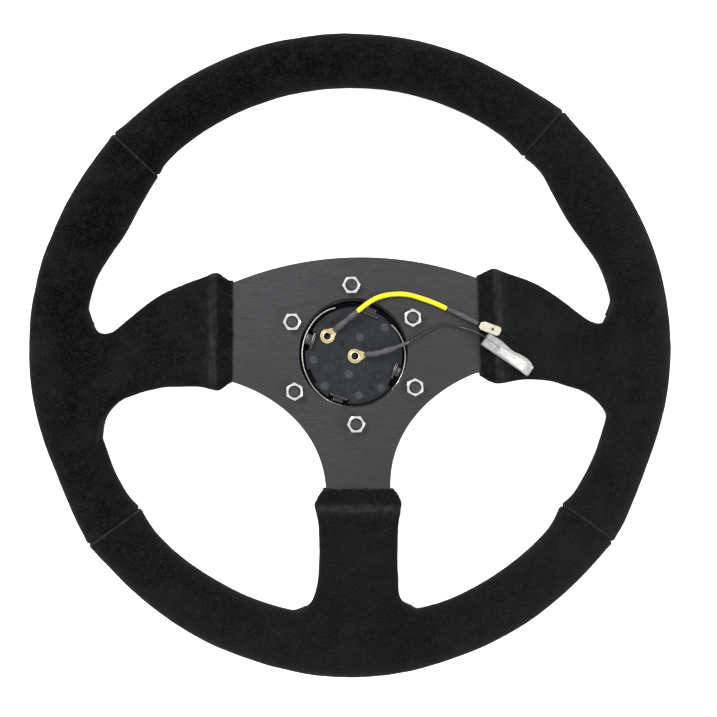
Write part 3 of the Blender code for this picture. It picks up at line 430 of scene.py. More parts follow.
def second_finish(piece, finish, chosen):
    """Another finish on the faces that chosen() picks."""
    piece.data.materials.append(FINISHES[finish])
    for face in piece.data.polygons:
        face.material_index = int(chosen(face))


def bmesh_of(*meshes):
    build = bmesh.new()
    for mesh in meshes:
        build.from_mesh(mesh)
    return build


def baked(build):
    """The mesh that a bmesh describes; the bmesh is freed."""
    mesh = bpy.data.meshes.new("shape")
    build.to_mesh(mesh)
    build.free()
    return mesh


def cut(build, place, normal, parts=None, snap=0.001):
    """Cut along a plane, through parts or through everything."""
    if parts is None:
        parts = build.verts[:] + build.edges[:] + build.faces[:]
    bmesh.ops.bisect_plane(build, geom=parts, dist=snap * MM, plane_co=place, plane_no=normal)


def smooth(mesh, angle=35.0):
    """Smooth shading, but for sharp edges and the edges of level faces."""
    mesh.shade_smooth()
    mesh.set_sharp_from_angle(angle=radians(angle))
    build = bmesh_of(mesh)
    for edge in build.edges:
        level = [abs(face.normal.z) > 0.9999 for face in edge.link_faces]
        if any(level) and not all(level):
            edge.smooth = False
    build.to_mesh(mesh)
    build.free()
    return mesh


def mesh_of(build, angle=35.0):
    """Close a bmesh into a mesh with its faces turned out."""
    bmesh.ops.recalc_face_normals(build, faces=build.faces)
    return smooth(baked(build), angle)


def add_loft(build, rings, closed=False):
    """Skin rings of matching points into a bmesh, capped unless closed."""
    loops = [[build.verts.new(Vector(point) * MM) for point in ring] for ring in rings]
    pairs = list(zip(loops, loops[1:]))
    if closed:
        pairs.append((loops[-1], loops[0]))
    for first, second in pairs:
        for i in range(len(first)):
            j = (i + 1) % len(first)
            build.faces.new((first[i], first[j], second[j], second[i]))
    if not closed:
        build.faces.new(list(reversed(loops[0])))
        build.faces.new(loops[-1])


def loft(rings, closed=False, angle=35.0):
    build = bmesh.new()
    add_loft(build, rings, closed)
    return mesh_of(build, angle)


def rounded(profile, radius, steps=3):
    """Round the corners of an open (r, z) profile, all but its ends."""
    points = [profile[0]]
    for before, here, after in zip(profile, profile[1:], profile[2:]):
        a, b, c = Vector(before), Vector(here), Vector(after)
        reach = min(radius, (a - b).length * 0.45, (c - b).length * 0.45)
        start = b + (a - b).normalized() * reach
        end = b + (c - b).normalized() * reach
        for i in range(steps + 1):
            t = i / steps
            points.append(tuple(start * (1 - t) ** 2 + b * 2 * t * (1 - t) + end * t * t))
    return points + [profile[-1]]


def polar(reach, turn, height, centre=(0.0, 0.0)):
    return Vector((centre[0] + reach * cos(turn), centre[1] + reach * sin(turn), height))


def turned(profile, steps=96, centre=(0.0, 0.0), radius=0.0):
    """A turned mesh from (radius, height) points; a ring where they start off the axis."""
    if radius:
        profile = rounded(profile, radius)
    build = bmesh.new()
    rings = []
    for reach, height in profile:
        turns = [2 * pi * i / steps for i in range(steps if reach > 0.0001 else 1)]
        rings.append([build.verts.new(polar(reach, t, height, centre) * MM) for t in turns])
    pairs = list(zip(rings, rings[1:]))
    if profile[0][0] > 0.0:
        pairs.append((rings[-1], rings[0]))
    for first, second in pairs:
        for i in range(steps):
            j = (i + 1) % steps
            corners = [first[i % len(first)], first[j % len(first)]]
            corners += [second[j % len(second)], second[i % len(second)]]
            unique = list(dict.fromkeys(corners))
            if len(unique) > 2:
                build.faces.new(unique)
    return mesh_of(build, 30.0)


def circle(radius, centre=(0.0, 0.0), count=64, start=0.0):
    turns = [radians(start) + 2 * pi * i / count for i in range(count)]
    return [(centre[0] + radius * cos(t), centre[1] + radius * sin(t)) for t in turns]


def flat_mesh(outlines, low_z, high_z, bevel=0.0, resolution=2):
    """A flat plate from closed (x, y) outlines, its edges bevelled."""
    curve = bpy.data.curves.new("outline", "CURVE")
    curve.dimensions = "2D"
    curve.fill_mode = "BOTH"
    curve.extrude = ((high_z - low_z) / 2 - bevel) * MM
    curve.bevel_depth = bevel * MM
    curve.bevel_resolution = resolution
    curve.offset = -bevel * MM
    for outline in outlines:
        spline = curve.splines.new("POLY")
        spline.points.add(len(outline) - 1)
        spline.use_cyclic_u = True
        for point, (x, y) in zip(spline.points, outline):
            point.co = (x * MM, y * MM, 0.0, 1.0)
    build = bmesh_of(evaluated(linked("outline", curve)))
    bmesh.ops.remove_doubles(build, verts=build.verts, dist=0.000002)
    bmesh.ops.translate(build, verts=build.verts, vec=(0, 0, (low_z + high_z) / 2 * MM))
    return mesh_of(build)


def evaluated(obj):
    """The mesh of an object after its modifiers; the object itself is removed."""
    bpy.context.view_layer.update()
    graph = bpy.context.evaluated_depsgraph_get()
    mesh = bpy.data.meshes.new_from_object(obj.evaluated_get(graph))
    bpy.data.objects.remove(obj, do_unlink=True)
    return mesh


def boolean(mesh, cutter, operation="DIFFERENCE"):
    """Combine two meshes."""
    obj = linked("helper", mesh)
    step = obj.modifiers.new("combine", "BOOLEAN")
    step.operation = operation
    step.solver = "EXACT"
    step.object = linked("cutter", cutter)
    made = evaluated(obj)
    bpy.data.objects.remove(bpy.data.objects["cutter"], do_unlink=True)
    return smooth(made)


def joined(meshes):
    return mesh_of(bmesh_of(*meshes))


def tree_of(mesh, scale=1.0):
    faces = [tuple(face.vertices) for face in mesh.polygons]
    return BVHTree.FromPolygons([vert.co * scale for vert in mesh.vertices], faces)


def eased(share):
    share = min(max(share, 0.0), 1.0)
    return share * share * (3 - 2 * share)


def flowing(keys, where):
    """Values at a place on a smooth curve through the keys."""
    if where <= keys[0][0]:
        return keys[0][1:]
    if where >= keys[-1][0]:
        return keys[-1][1:]
    at = next(i for i in range(len(keys) - 1) if where <= keys[i + 1][0])
    rows = [keys[max(at - 1, 0)], keys[at], keys[at + 1], keys[min(at + 2, len(keys) - 1)]]
    run = rows[2][0] - rows[1][0]
    t = (where - rows[1][0]) / run
    values = []
    for column in range(1, len(keys[0])):
        start, end = rows[1][column], rows[2][column]
        slope_in = (end - rows[0][column]) / (rows[2][0] - rows[0][0]) * run
        slope_out = (rows[3][column] - start) / (rows[3][0] - rows[1][0]) * run
        values.append(
            start * (2 * t**3 - 3 * t * t + 1)
            + slope_in * (t**3 - 2 * t * t + t)
            + end * (3 * t * t - 2 * t**3)
            + slope_out * (t**3 - t * t)
        )
    return tuple(values)


def smooth_route(route, count):
    """Evenly spaced points on a smooth curve through the route's points."""
    ends = [route[0]] + route + [route[-1]]
    dense = []
    for a, b, c, d in zip(ends, ends[1:], ends[2:], ends[3:]):
        a, b, c, d = Vector(a), Vector(b), Vector(c), Vector(d)
        for i in range(16):
            t = i / 16
            point = 0.5 * (
                2 * b
                + (c - a) * t
                + (2 * a - 5 * b + 4 * c - d) * t * t
                + (3 * b - a - 3 * c + d) * t**3
            )
            dense.append(point)
    dense.append(Vector(route[-1]))
    return spaced(dense, count)


def spaced(dense, count):
    """Evenly spaced points along a dense line of points."""
    lengths = [0.0]
    for p, q in zip(dense, dense[1:]):
        lengths.append(lengths[-1] + (q - p).length)
    points = []
    step = 0
    for i in range(count):
        goal = lengths[-1] * i / (count - 1)
        while step < len(lengths) - 2 and lengths[step + 1] < goal:
            step += 1
        run = lengths[step + 1] - lengths[step]
        share = (goal - lengths[step]) / run if run else 0.0
        points.append(dense[step].lerp(dense[step + 1], share))
    return points


def length_of(points):
    return sum((q - p).length for p, q in zip(points, points[1:]))


def tube_rings(points, radii, sides=16):
    """Rings round a line of points, one radius at each, carried along without twist."""
    rings = []
    side = None
    for i, (point, radius) in enumerate(zip(points, radii)):
        ahead = points[min(i + 1, len(points) - 1)] - points[max(i - 1, 0)]
        ahead.normalize()
        if side is None:
            side = ahead.cross(UP if abs(ahead.z) < 0.9 else Vector((1, 0, 0)))
        side = (side - ahead * side.dot(ahead)).normalized()
        rise = ahead.cross(side)
        turns = [2 * pi * i / sides for i in range(sides)]
        rings.append([point + (side * cos(t) + rise * sin(t)) * radius for t in turns])
    return rings


def section(high, low, half, corner, step=15.0, inset=0.0):
    """(across, up) points round a flat section with rounded corners."""
    points = []
    for across, up, start in (
        (high - corner, half - corner, 0), (low + corner, half - corner, 90),
        (low + corner, corner - half, 180), (high - corner, corner - half, 270),
    ):
        for i in range(round(90 / step) + 1):
            angle = radians(start + step * i)
            reach = corner - inset
            points.append((across + reach * cos(angle), up + reach * sin(angle)))
    return points


def lumpy(points, radius, amount, scale, seed):
    """Radii that vary along a line of points."""
    shift = Vector((seed, seed * 0.7, seed * 1.3))
    return [radius * (1 + amount * noise.noise(point * scale + shift)) for point in points]


# ---- suede


def arm_height(reach):
    """Height of an arm's middle at a distance from the axis."""
    drop = PLATE_MID_Z - RIM_MID_Z
    return PLATE_MID_Z - drop * eased((reach - BEND_START) / (BEND_END - BEND_START))


def rim_radii(degrees):
    """Outer and inner radius of the rim at an angle."""
    return flowing(RIM_KEYS, degrees % 360)


def rim_rings():
    rings = []
    for step in range(360):
        outer, inner = rim_radii(step)
        middle, half = (outer + inner) / 2, (outer - inner) / 2
        ring = []
        for i in range(40):
            around = 2 * pi * i / 40
            height = RIM_MID_Z + RIM_HALF_DEPTH * sin(around)
            ring.append(polar(middle + half * cos(around), radians(step), height))
        rings.append(ring)
    return rings


def wrap_rings(arm):
    """Sections of a wrapped arm, from inside the hem out into the rim."""
    rings = []
    reach = arm.outline[0][0]
    while reach <= arm.outline[-1][0]:
        high, low = flowing(arm.outline, reach)
        half = flowing(WRAP_HALF, reach - arm.hem)[0]
        corner = min(1.4 + (half - HEM_HALF) * 1.2, half * 0.95)
        height = arm_height(reach)
        edge = section(high, low, half, corner, 22.5)
        rings.append([arm.place(reach, side, height + up) for side, up in edge])
        reach += 1.0
    return rings


class Arm:
    """A wrapped arm: its suede outline, its hem's line and the way that it runs."""

    def __init__(self, outline, hem, along, across, slant=0.0):
        self.outline = outline
        self.hem = hem
        self.slant = slant
        self.along = Vector(along)
        self.across = Vector(across)
        self.origin = self.along * hem
        self.normal = (self.along - self.across * slant).normalized()

    def place(self, reach, side, height):
        return self.along * reach + self.across * side + UP * height

    def past(self, point):
        """How far a point in mm is past the hem."""
        return (point - self.origin).dot(self.normal)

    def near(self, point):
        """Whether a point in mm lies on this arm and not on the rim or another arm."""
        offset = point - self.origin
        return abs(offset.dot(self.across)) < 60.0 and -30.0 < offset.dot(self.along) < 45.0


ARMS = {
    "cover_right": Arm(RIGHT_SPOKE, RIGHT_HEM, (1, 0, 0), (0, 1, 0)),
    "cover_left": Arm(LEFT_SPOKE, LEFT_HEM, (-1, 0, 0), (0, 1, 0), LEFT_HEM_SLANT),
    "cover_bottom": Arm(LOWER_SPOKE, LOWER_HEM, (0, -1, 0), (1, 0, 0), LOWER_HEM_SLANT),
}


def suede_body():
    """Rim and arms grown together into one smooth skin."""
    build = bmesh.new()
    add_loft(build, rim_rings(), closed=True)
    for arm in ARMS.values():
        add_loft(build, wrap_rings(arm))
    skin = linked("helper", mesh_of(build))
    remesh = skin.modifiers.new("grow", "REMESH")
    remesh.mode = "VOXEL"
    remesh.voxel_size = 1.3 * MM
    relax = skin.modifiers.new("relax", "SMOOTH")
    relax.factor = 0.5
    relax.iterations = 4
    return evaluated(skin)


def seam_distance(point, degrees):
    """How far a point is past a seam, along the rim, in mm."""
    turn = atan2(point.y, point.x) - radians(degrees)
    turn = (turn + pi) % (2 * pi) - pi
    return turn * point.xy.length / MM


def past_hem(point):
    """Distance past the nearest arm's hem in mm, or None away from the arms' ends."""
    point = point / MM
    for arm in ARMS.values():
        if arm.near(point) and point.length < 110.0:
            return arm.past(point)
    return None


def cut_near(build, keep, place, normal):
    """Cut only the faces that keep() says are near."""
    faces = [face for face in build.faces if keep(face.calc_center_median())]
    edges = list({edge for face in faces for edge in face.edges})
    verts = list({vert for face in faces for vert in face.verts})
    cut(build, place, normal, verts + edges + faces, 0.02)


def cut_seams(build):
    """Fine edges beside each seam and beside each hem."""
    for degrees in SEAMS.values():
        turn = radians(degrees)
        across = Vector((-sin(turn), cos(turn), 0))
        for shift in (0.0, 0.45, -0.45, 1.0, -1.0, 1.9, -1.9):
            near = lambda point: abs(seam_distance(point, degrees)) < 6.0
            cut_near(build, near, across * shift * MM, across)
    for arm in ARMS.values():
        for shift in (0.0, 0.5, 1.1, 2.0):
            near = lambda point: arm.near(point / MM) and abs(arm.past(point / MM)) < 6.0
            cut_near(build, near, (arm.origin + arm.normal * shift) * MM, arm.normal)


def hump(gap, width):
    return exp(-((gap / width) ** 2))


def shape_suede(build):
    """Seam grooves, hem wrinkles and a hand-wrapped unevenness, and how much each point is
    lightened: wear along the seams, and a painted highlight mixed with wear on the ridge past each
    hem.
    """
    build.normal_update()
    wear_and_highlight = build.verts.layers.float.new("wear_and_highlight")
    moves = []
    for vert in build.verts:
        point = vert.co / MM
        move = 0.22 * noise.noise(point * 0.05)
        move += 0.10 * noise.noise(point * 0.19 + Vector((9, 4, 2)))
        wear_plus_highlight = 0.0
        for degrees in SEAMS.values():
            gap = seam_distance(vert.co, degrees)
            if abs(gap) > 16.0:
                continue
            move += 0.35 * hump(abs(gap) - 1.8, 2.2) - 0.8 * hump(gap, 0.6)
            wear_plus_highlight += (0.6 + 0.5 * noise.noise(point * 0.3)) * hump(gap - 0.9, 0.45)
            patch = max(noise.noise(point * 0.12 + Vector((3, 8, 1))), 0.0)
            wear_plus_highlight += 0.16 * patch * (1 - abs(gap) / 16)
        past = past_hem(vert.co)
        if past is not None and past < 22.0:
            fade = 1 - eased((past - 8) / 12)
            lower = abs(point.x) <= -point.y
            stretch = point * Vector((0.38, 0.10, 0.38) if lower else (0.10, 0.38, 0.38))
            move += 0.42 * fade * noise.noise(stretch)
            move += 0.30 * fade * noise.noise(stretch * 2.6 + Vector((5, 1, 7)))
            shift = 0.5 * noise.noise(point * 0.12)
            # Painted highlight, mixed with wear, along the ridge a few mm past the hem.
            ridge_highlight_and_wear = 0.8 * hump(past - 8.2 + shift, 0.8) + 0.7 * hump(past - 10.0 + shift, 0.7)
            ridge_highlight_and_wear += 0.25 * hump(past - 11.0, 3.0)
            wear_plus_highlight += ridge_highlight_and_wear * (0.55 + 0.5 * noise.noise(point * 0.3))
        vert[wear_and_highlight] = min(max(wear_plus_highlight, 0.0), 1.0)
        moves.append((vert, move))
    for vert, move in moves:
        vert.co += vert.normal * move * MM


def fit_foam(skin):
    """The foam, pushed in wherever it would show through the suede or past a hem."""
    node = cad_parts["rim_foam"]
    build = bmesh_of(node.data)
    build.transform(node.matrix_world)
    long = [edge for edge in build.edges if edge.calc_length() > 4.0 * MM]
    bmesh.ops.subdivide_edges(build, edges=long, cuts=2, use_grid_fill=True)
    build.normal_update()
    tree = tree_of(skin)
    deep = (SUEDE + 0.5) * MM
    for vert in build.verts:
        spot, normal, _, _ = tree.find_nearest(vert.co)
        above = (vert.co - spot).dot(normal)
        if above > -deep and vert.normal.dot(normal) > 0.0:
            vert.co = spot - normal * deep
        for arm in ARMS.values():
            past = arm.past(vert.co / MM)
            if arm.near(vert.co / MM) and past < 2.0:
                vert.co += arm.normal * (2.0 - past) * MM
    foam = new_piece("rim_foam_fitted", mesh_of(build, 60.0), "foam", "foam", "rim_foam")


def cover_of(point):
    """Name of the cover that a point of the skin belongs to."""
    degrees = math.degrees(atan2(point.y, point.x)) % 360
    names = ("cover_right", "cover_top", "cover_left", "cover_bottom", "cover_right")
    return names[sum(degrees >= seam for seam in SEAMS.values())]


def hem_roll(arm, seed):
    """The folded edge of the suede round an arm, as an uneven roll."""
    high, low = flowing(arm.outline, arm.hem)
    tube = 0.68
    line = []
    for side, rise in section(high, low, HEM_HALF, 1.5, inset=tube):
        along = arm.hem + 0.35 + side * arm.slant
        line.append(arm.place(along, side, PLATE_MID_Z + rise))
    line = spaced(line + [line[0]], 150)[:-1]
    rings = []
    for i, point in enumerate(line):
        ahead = (line[(i + 1) % len(line)] - line[i - 1]).normalized()
        across = arm.along.cross(ahead).normalized()
        shift = arm.along * 0.45 * noise.noise(point * 0.25 + Vector((seed, 0, 0)))
        ring = []
        for j in range(10):
            turn = 2 * pi * j / 10
            way = arm.along * cos(turn) + across * sin(turn)
            lump = noise.noise(point * 0.8 + way * 1.5 + Vector((0, seed, 0)))
            ring.append(point + shift + way * tube * (1 + 0.22 * lump))
        rings.append(ring)
    build = bmesh.new()
    add_loft(build, rings, closed=True)
    layer = build.verts.layers.float.new("wear_and_highlight")
    for vert in build.verts:
        vert[layer] = 0.22 + 0.4 * max(noise.noise(vert.co / MM * 0.6), 0.0)
    return mesh_of(build)


def make_covers():
    """The four suede covers, split from one skin along the seams."""
    skin = suede_body()
    fit_foam(skin)
    build = bmesh_of(skin)
    cut_seams(build)
    for arm in ARMS.values():
        middles = [(face, face.calc_center_median() / MM) for face in build.faces]
        lost = [face for face, middle in middles if arm.near(middle) and arm.past(middle) < 0]
        bmesh.ops.delete(build, geom=lost, context="FACES")
    shape_suede(build)
    whole = bpy.data.meshes.new("suede_skin")
    build.to_mesh(whole)
    seeds = {name: 3.0 + 8.0 * i for i, name in enumerate(ARMS)}
    for name in ("cover_top", "cover_left", "cover_bottom", "cover_right"):
        part = build.copy()
        others = [f for f in part.faces if cover_of(f.calc_center_median()) != name]
        bmesh.ops.delete(part, geom=others, context="FACES")
        obj = linked("helper", smooth(baked(part), 60.0))
        wall = obj.modifiers.new("wall", "SOLIDIFY")
        wall.thickness = SUEDE * MM
        wall.offset = -1.0
        both = bmesh_of(evaluated(obj))
        if name in ARMS:
            both.from_mesh(hem_roll(ARMS[name], seeds[name]))
        new_piece(name + "_suede", smooth(baked(both), 60.0), "suede", "suede", name)
    build.free()
    return whole


# ---- stitching


# How far round the rim's section the stitches sit, their spacing, half width and thread radius.
STITCH_DROP = radians(52)
STITCH_PITCH = 5.2
STITCH_REACH = 1.9
THREAD = 0.32


def arm_edge_points(arm, column, first, last):
    """The driver's side of one edge of a wrapped arm."""
    points = []
    reach = first
    while reach <= last:
        side = flowing(arm.outline, reach)[column]
        half = flowing(WRAP_HALF, reach - arm.hem)[0]
        height = max(arm_height(reach) - half - 6.0 * eased((reach - 116.0) / 20.0), 3.5)
        points.append(arm.place(reach, side, height))
        reach += 2.0
    return points


def rim_edge_points(first, last):
    """Inside of the rim, a little on the driver's side, between two angles."""
    points = []
    count = max(int(abs(last - first)), 2)
    for i in range(count + 1):
        degrees = first + (last - first) * i / count
        outer, inner = rim_radii(degrees)
        reach = (outer + inner) / 2 - (outer - inner) / 2 * cos(STITCH_DROP)
        height = RIM_MID_Z - RIM_HALF_DEPTH * sin(STITCH_DROP)
        points.append(polar(reach, radians(degrees), height))
    return points


def stitch_lines():
    """The insides of the three openings, from hem to hem."""
    right, left, lower = ARMS["cover_right"], ARMS["cover_left"], ARMS["cover_bottom"]
    openings = {
        "stitching_upper": ((right, 0, 69.0, 138.0), (12, 168), (left, 0, 66.0, 138.0)),
        "stitching_right": ((right, 1, 69.0, 137.0), (-19, -74), (lower, 0, 72.5, 137.0)),
        "stitching_left": ((left, 1, 66.0, 137.0), (198, 252), (lower, 1, 72.5, 137.0)),
    }
    lines = {}
    for name, (start, rim, end) in openings.items():
        lines[name] = arm_edge_points(*start) + rim_edge_points(*rim) + arm_edge_points(*end)[::-1]
    return lines


def make_stitching(skin):
    """Crossed stitches that close the suede along each opening."""
    tree = tree_of(skin, 1 / MM)
    for name, guide in stitch_lines().items():
        count = round(length_of(guide) / STITCH_PITCH)
        marks = spaced(guide, count + 1)
        feet = []
        for i, mark in enumerate(marks):
            ahead = (marks[min(i + 1, count)] - marks[max(i - 1, 0)]).normalized()
            spot, normal, _, _ = tree.find_nearest(mark)
            feet.append((spot, normal, normal.cross(ahead).normalized()))
        build = bmesh.new()
        for (spot, _, side), (next_spot, _, next_side) in zip(feet, feet[1:]):
            lean = 1.0
            for way in (1.0, -1.0):
                start = spot + side * STITCH_REACH * way
                end = next_spot - next_side * STITCH_REACH * way
                line = []
                for k in range(7):
                    share = k / 6
                    middle = start.lerp(end, 0.06 + share * 0.88)
                    place, normal, _, _ = tree.find_nearest(middle)
                    lift = 0.12 * sin(pi * share) * lean + 0.1
                    if k in (0, 6):
                        lift = -0.45
                    line.append(place + normal * lift)
                add_loft(build, tube_rings(line, [THREAD] * len(line), 6))
                lean = 3.4
        new_piece(name, mesh_of(build, 80.0), "thread", "suede")


# ---- plate


def bezier(start, first, second, end, count):
    """Points along a cubic, without its last one."""
    points = []
    for i in range(count):
        t = i / count
        weights = ((1 - t) ** 3, 3 * t * (1 - t) ** 2, 3 * t * t * (1 - t), t**3)
        x = sum(w * p[0] for w, p in zip(weights, (start, first, second, end)))
        y = sum(w * p[1] for w, p in zip(weights, (start, first, second, end)))
        points.append((x, y))
    return points


def bolt_place(index):
    turn = radians(90.0 + 60.0 * index)
    return (BOLT_RADIUS * cos(turn), BOLT_RADIUS * sin(turn))


def bolt_holes():
    return [circle(2.8, bolt_place(i), 32) for i in range(6)]


def plate_outline():
    """The plate's edge, anticlockwise from the lower arm's right corner."""
    sag = 49.3 - 37.6
    radius = (62.0**2 + sag**2) / (2 * sag)
    spread = asin(62.0 / radius)
    top = []
    for i in range(60):
        turn = spread * (1 - 2 * i / 60)
        top.append((radius * sin(turn), 49.3 - radius * (1 - cos(turn))))
    upper_arm = bezier((62, 37.6), (90, 26.6), (112, 9), (152.9, 7), 24) + [(152.9, 7)]
    lower_arm = bezier((62, -11.6), (90, -10), (120, -9), (152.9, -6), 24) + [(152.9, -6)]
    waist = bezier((16.4, -68), (16.8, -38), (40, -19), (62, -11.6), 60)
    right = [(10.0, -152.9)] + waist + lower_arm + upper_arm[::-1][:-1]
    left = [(-x, y) for x, y in right[::-1]]
    return right + top + [(-62.0, 37.6)] + left


def make_plate():
    outlines = [plate_outline(), circle(27.6, HOLE_CENTRE, 128), *bolt_holes()]
    build = bmesh_of(flat_mesh(outlines, PLATE_FRONT_Z, PLATE_BACK_Z, 0.35, 2))
    for step in range(13):
        reach = (BEND_START + (BEND_END - BEND_START) * step / 12) * MM
        cut(build, (reach, 0, 0), (1, 0, 0))
        cut(build, (-reach, 0, 0), (1, 0, 0))
        cut(build, (0, -reach, 0), (0, 1, 0))
    for vert in build.verts:
        reach = max(abs(vert.co.x), -vert.co.y) / MM
        vert.co.z += (arm_height(reach) - PLATE_MID_Z) * MM
    new_piece("plate_brushed", mesh_of(build, 30.0), "plate", "plate", "spoke_plate")


# ---- nuts, screws, trim ring


def nut_mesh(index):
    """A hexagon nut with 30 degree chamfers and a countersunk bore."""
    low, high = PLATE_BACK_Z + 0.3, PLATE_BACK_Z + 4.3
    corner = 8.0 / sqrt(3)
    centre = bolt_place(index)
    hexagon = flat_mesh([circle(corner, centre, 6, NUT_TURNS[index])], low, high)
    drop = (corner - 3.85) * tan(radians(30))
    profile = [
        (2.55, high - 0.45), (3.05, high), (3.85, high), (corner + 0.4, high - drop - 0.23),
        (corner + 0.4, low + drop + 0.23), (3.85, low), (2.55, low),
    ]
    return boolean(hexagon, turned(profile, 48, centre), "INTERSECT")


def screw_mesh(index):
    """A button-head screw, its threaded end in the nut and its head on the driver's side."""
    profile = [(0.0, 57.35), (1.7, 57.4), (2.05, 57.4), (2.4, 57.05)]
    height = 57.0
    while height > 52.5:
        profile += [(2.5, height - 0.1), (2.5, height - 0.2)]
        profile += [(2.2, height - 0.5), (2.2, height - 0.6)]
        height -= 0.8
    profile += [(2.5, 52.0), (2.5, 43.9), (4.5, 43.9), (4.75, 43.75), (4.7, 43.3)]
    profile += [(4.45, 42.6), (3.95, 41.9), (3.2, 41.4), (2.5, 41.2), (0.0, 41.2)]
    body = turned(profile, 48, bolt_place(index))
    socket = flat_mesh([circle(3.0 / sqrt(3), bolt_place(index), 6)], 40.0, 42.8)
    return boolean(body, socket)


def make_fasteners():
    for index in range(6):
        number = index + 1
        new_piece(f"nut_{number}_hex", nut_mesh(index), "zinc", "nuts", f"nut_{number}")
        screw = screw_mesh(index)
        new_piece(f"screw_{number}_fine", screw, "screw", "screws", f"screw_{number}")
    outlines = [circle(43.0, count=160), circle(27.5, count=128), *bolt_holes()]
    ring = flat_mesh(outlines, 44.2, 47.2, 0.6, 3)
    new_piece("trim_ring_fine", ring, "plate", "plate", "trim_ring")


# ---- horn button


def block(angle, near, far, half_width, low, high, bevel=0.0):
    """A bar along a radius."""
    outline = [(near, -half_width), (far, -half_width), (far, half_width), (near, half_width)]
    mesh = flat_mesh([outline], low, high, bevel, 2)
    mesh.transform(Matrix.Rotation(radians(angle), 4, "Z"))
    return mesh


def arc_mesh(inner, outer, start, end, low, high, bevel=0.2):
    turns = [radians(start + (end - start) * i / 48) for i in range(49)]
    outline = [polar(outer, t, 0.0)[:2] for t in turns]
    outline += [polar(inner, t, 0.0)[:2] for t in reversed(turns)]
    return flat_mesh([outline], low, high, bevel, 2)


# The housing's hooks: degrees from +X and radius of the tip.
HOOKS = [(66, 21.2), (159, 21), (249, 21.9), (337, 21.6)]
# Slots in the base where the hooks come through, and the short one between two of them:
# degrees from +X and half width.
SLOTS = [(160.6, 5.3), (249.3, 5.3), (205.5, 3.9), (330.5, 5.9)]


def make_housing():
    """The snap-in ring with its four hooks, and the lip that hides part of the wire clip."""
    profile = [
        (25.8, 44.2), (25.8, 46.5), (25.9, 46.6), (26.3, 46.6), (26.4, 46.4), (26.5, 45.1),
        (27, 45), (27.1, 44.8), (27.1, 43.9), (29.6, 43.9), (29.8, 43.7), (29.8, 42.9),
        (29.5, 42.3), (28.9, 40.6), (28, 38.4), (27.4, 37.9), (24.8, 37.8), (24.6, 37.95),
        (24.6, 39), (25.6, 39), (25.6, 42.9), (23.5, 42.9), (23.5, 44.2),
    ]
    ring = turned(profile, 144)
    for angle, near in HOOKS:
        for bar in (
            (25.2, 26.3, 3.2, 45.5, 48.2, 0.1), (near + 0.6, 25.7, 2.6, 47.75, 48.3, 0.15),
            (near, near + 1.7, 4.6, 47.8, 49.6, 0.7), (24, 25.6, 2.6, 47.9, 49.3, 0.6),
        ):
            ring = boolean(ring, block(angle, *bar), "UNION")
    ring = boolean(ring, block(280.0, 26.0, 26.4, 2.0, 45.5, 48.4), "UNION")
    ring = boolean(ring, arc_mesh(25.7, 26.45, 256.0, 316.0, 48.1, 48.8), "UNION")
    piece = new_piece("horn_housing_fine", ring, "housing", "horn_plastic", "horn_housing")
    # The ring's low faces and its faces outside the lip get the near-black painted shade.
    low, far = 47.6 * MM, 25.65 * MM
    second_finish(piece, "recess_shade", lambda face: face.center.z < low or face.center.xy.length > far)


# Where the base sits in its ring, and the marks that its mould left on it.
BASE_CENTRE = (0.3, -0.5)
BASE_RADIUS = 25.0
PIN_MARKS = [(3.7, 8.8), (-2.7, -9.9), (-15.1, -15.4), (13.6, -17.7), (-20.4, -1.9)]
PIN_MARKS += [(16.5, 13.4), (2.1, -21)]
NUBS = [(-10.2, 16.9), (-5.6, 6.2), (6.0, 4.2), (8.6, -17.5)]
DIAL = (-13.2, -6.3)
RING_MARK = (12.0, -11.4)


def make_base():
    """The horn button's back plate: slots, pin marks, nubs and a plain moulded dial."""
    top, low = BASE_BACK_Z, 44.5
    outlines = [circle(BASE_RADIUS, BASE_CENTRE, 128)]
    outlines += [circle(2.4, centre, 32) for centre in (SIDE_EYELET, CENTRE_EYELET)]
    base = flat_mesh(outlines, low, top, 0.3, 2)
    cutters = [block(angle, 22.8, 27.0, half, 43.0, 49.0) for angle, half in SLOTS]
    well = [(2.6, top + 1), (2.6, top - 0.4), (2.1, top - 0.4), (2.1, top + 1)]
    cutters.append(turned(well, 40, RING_MARK))
    pit = [(1.3, top + 1), (1.3, top - 0.5), (0.7, top - 0.5), (0.7, top + 1)]
    cutters += [turned(pit, 24, centre) for centre in NUBS]
    base = boolean(base, joined(cutters))
    nub = [(0, top + 0.5), (0.4, top + 0.45), (0.6, top + 0.2), (0.6, top - 0.8), (0, top - 0.8)]
    raised = [turned(nub, 20, centre) for centre in NUBS]
    rim = [(4.1, top + 0.16), (4.1, top - 0.3), (3.8, top - 0.3), (3.8, top + 0.16)]
    raised.append(turned(rim, 48, DIAL))
    base = boolean(base, joined(raised), "UNION")
    foot = (0.0, top + 0.01)
    mark = [(0.0, top + 0.05), (2.0, top + 0.05), (2.1, top + 0.01), foot]
    marks = [turned(mark, 32, centre) for centre in PIN_MARKS]
    pip = [(0.0, top + 0.2), (0.22, top + 0.16), (0.3, top + 0.01), foot]
    for i in range(26):
        spot = polar(3.5 * sqrt((i + 0.5) / 26), i * 2.4, 0.0, DIAL)
        marks.append(turned(pip, 8, spot))
    first = len(base.polygons)
    base = baked(bmesh_of(base, joined(marks)))
    piece = new_piece("horn_base_fine", base, "plastic", "horn_plastic", "horn_base")
    second_finish(piece, "pale", lambda face: face.index >= first)


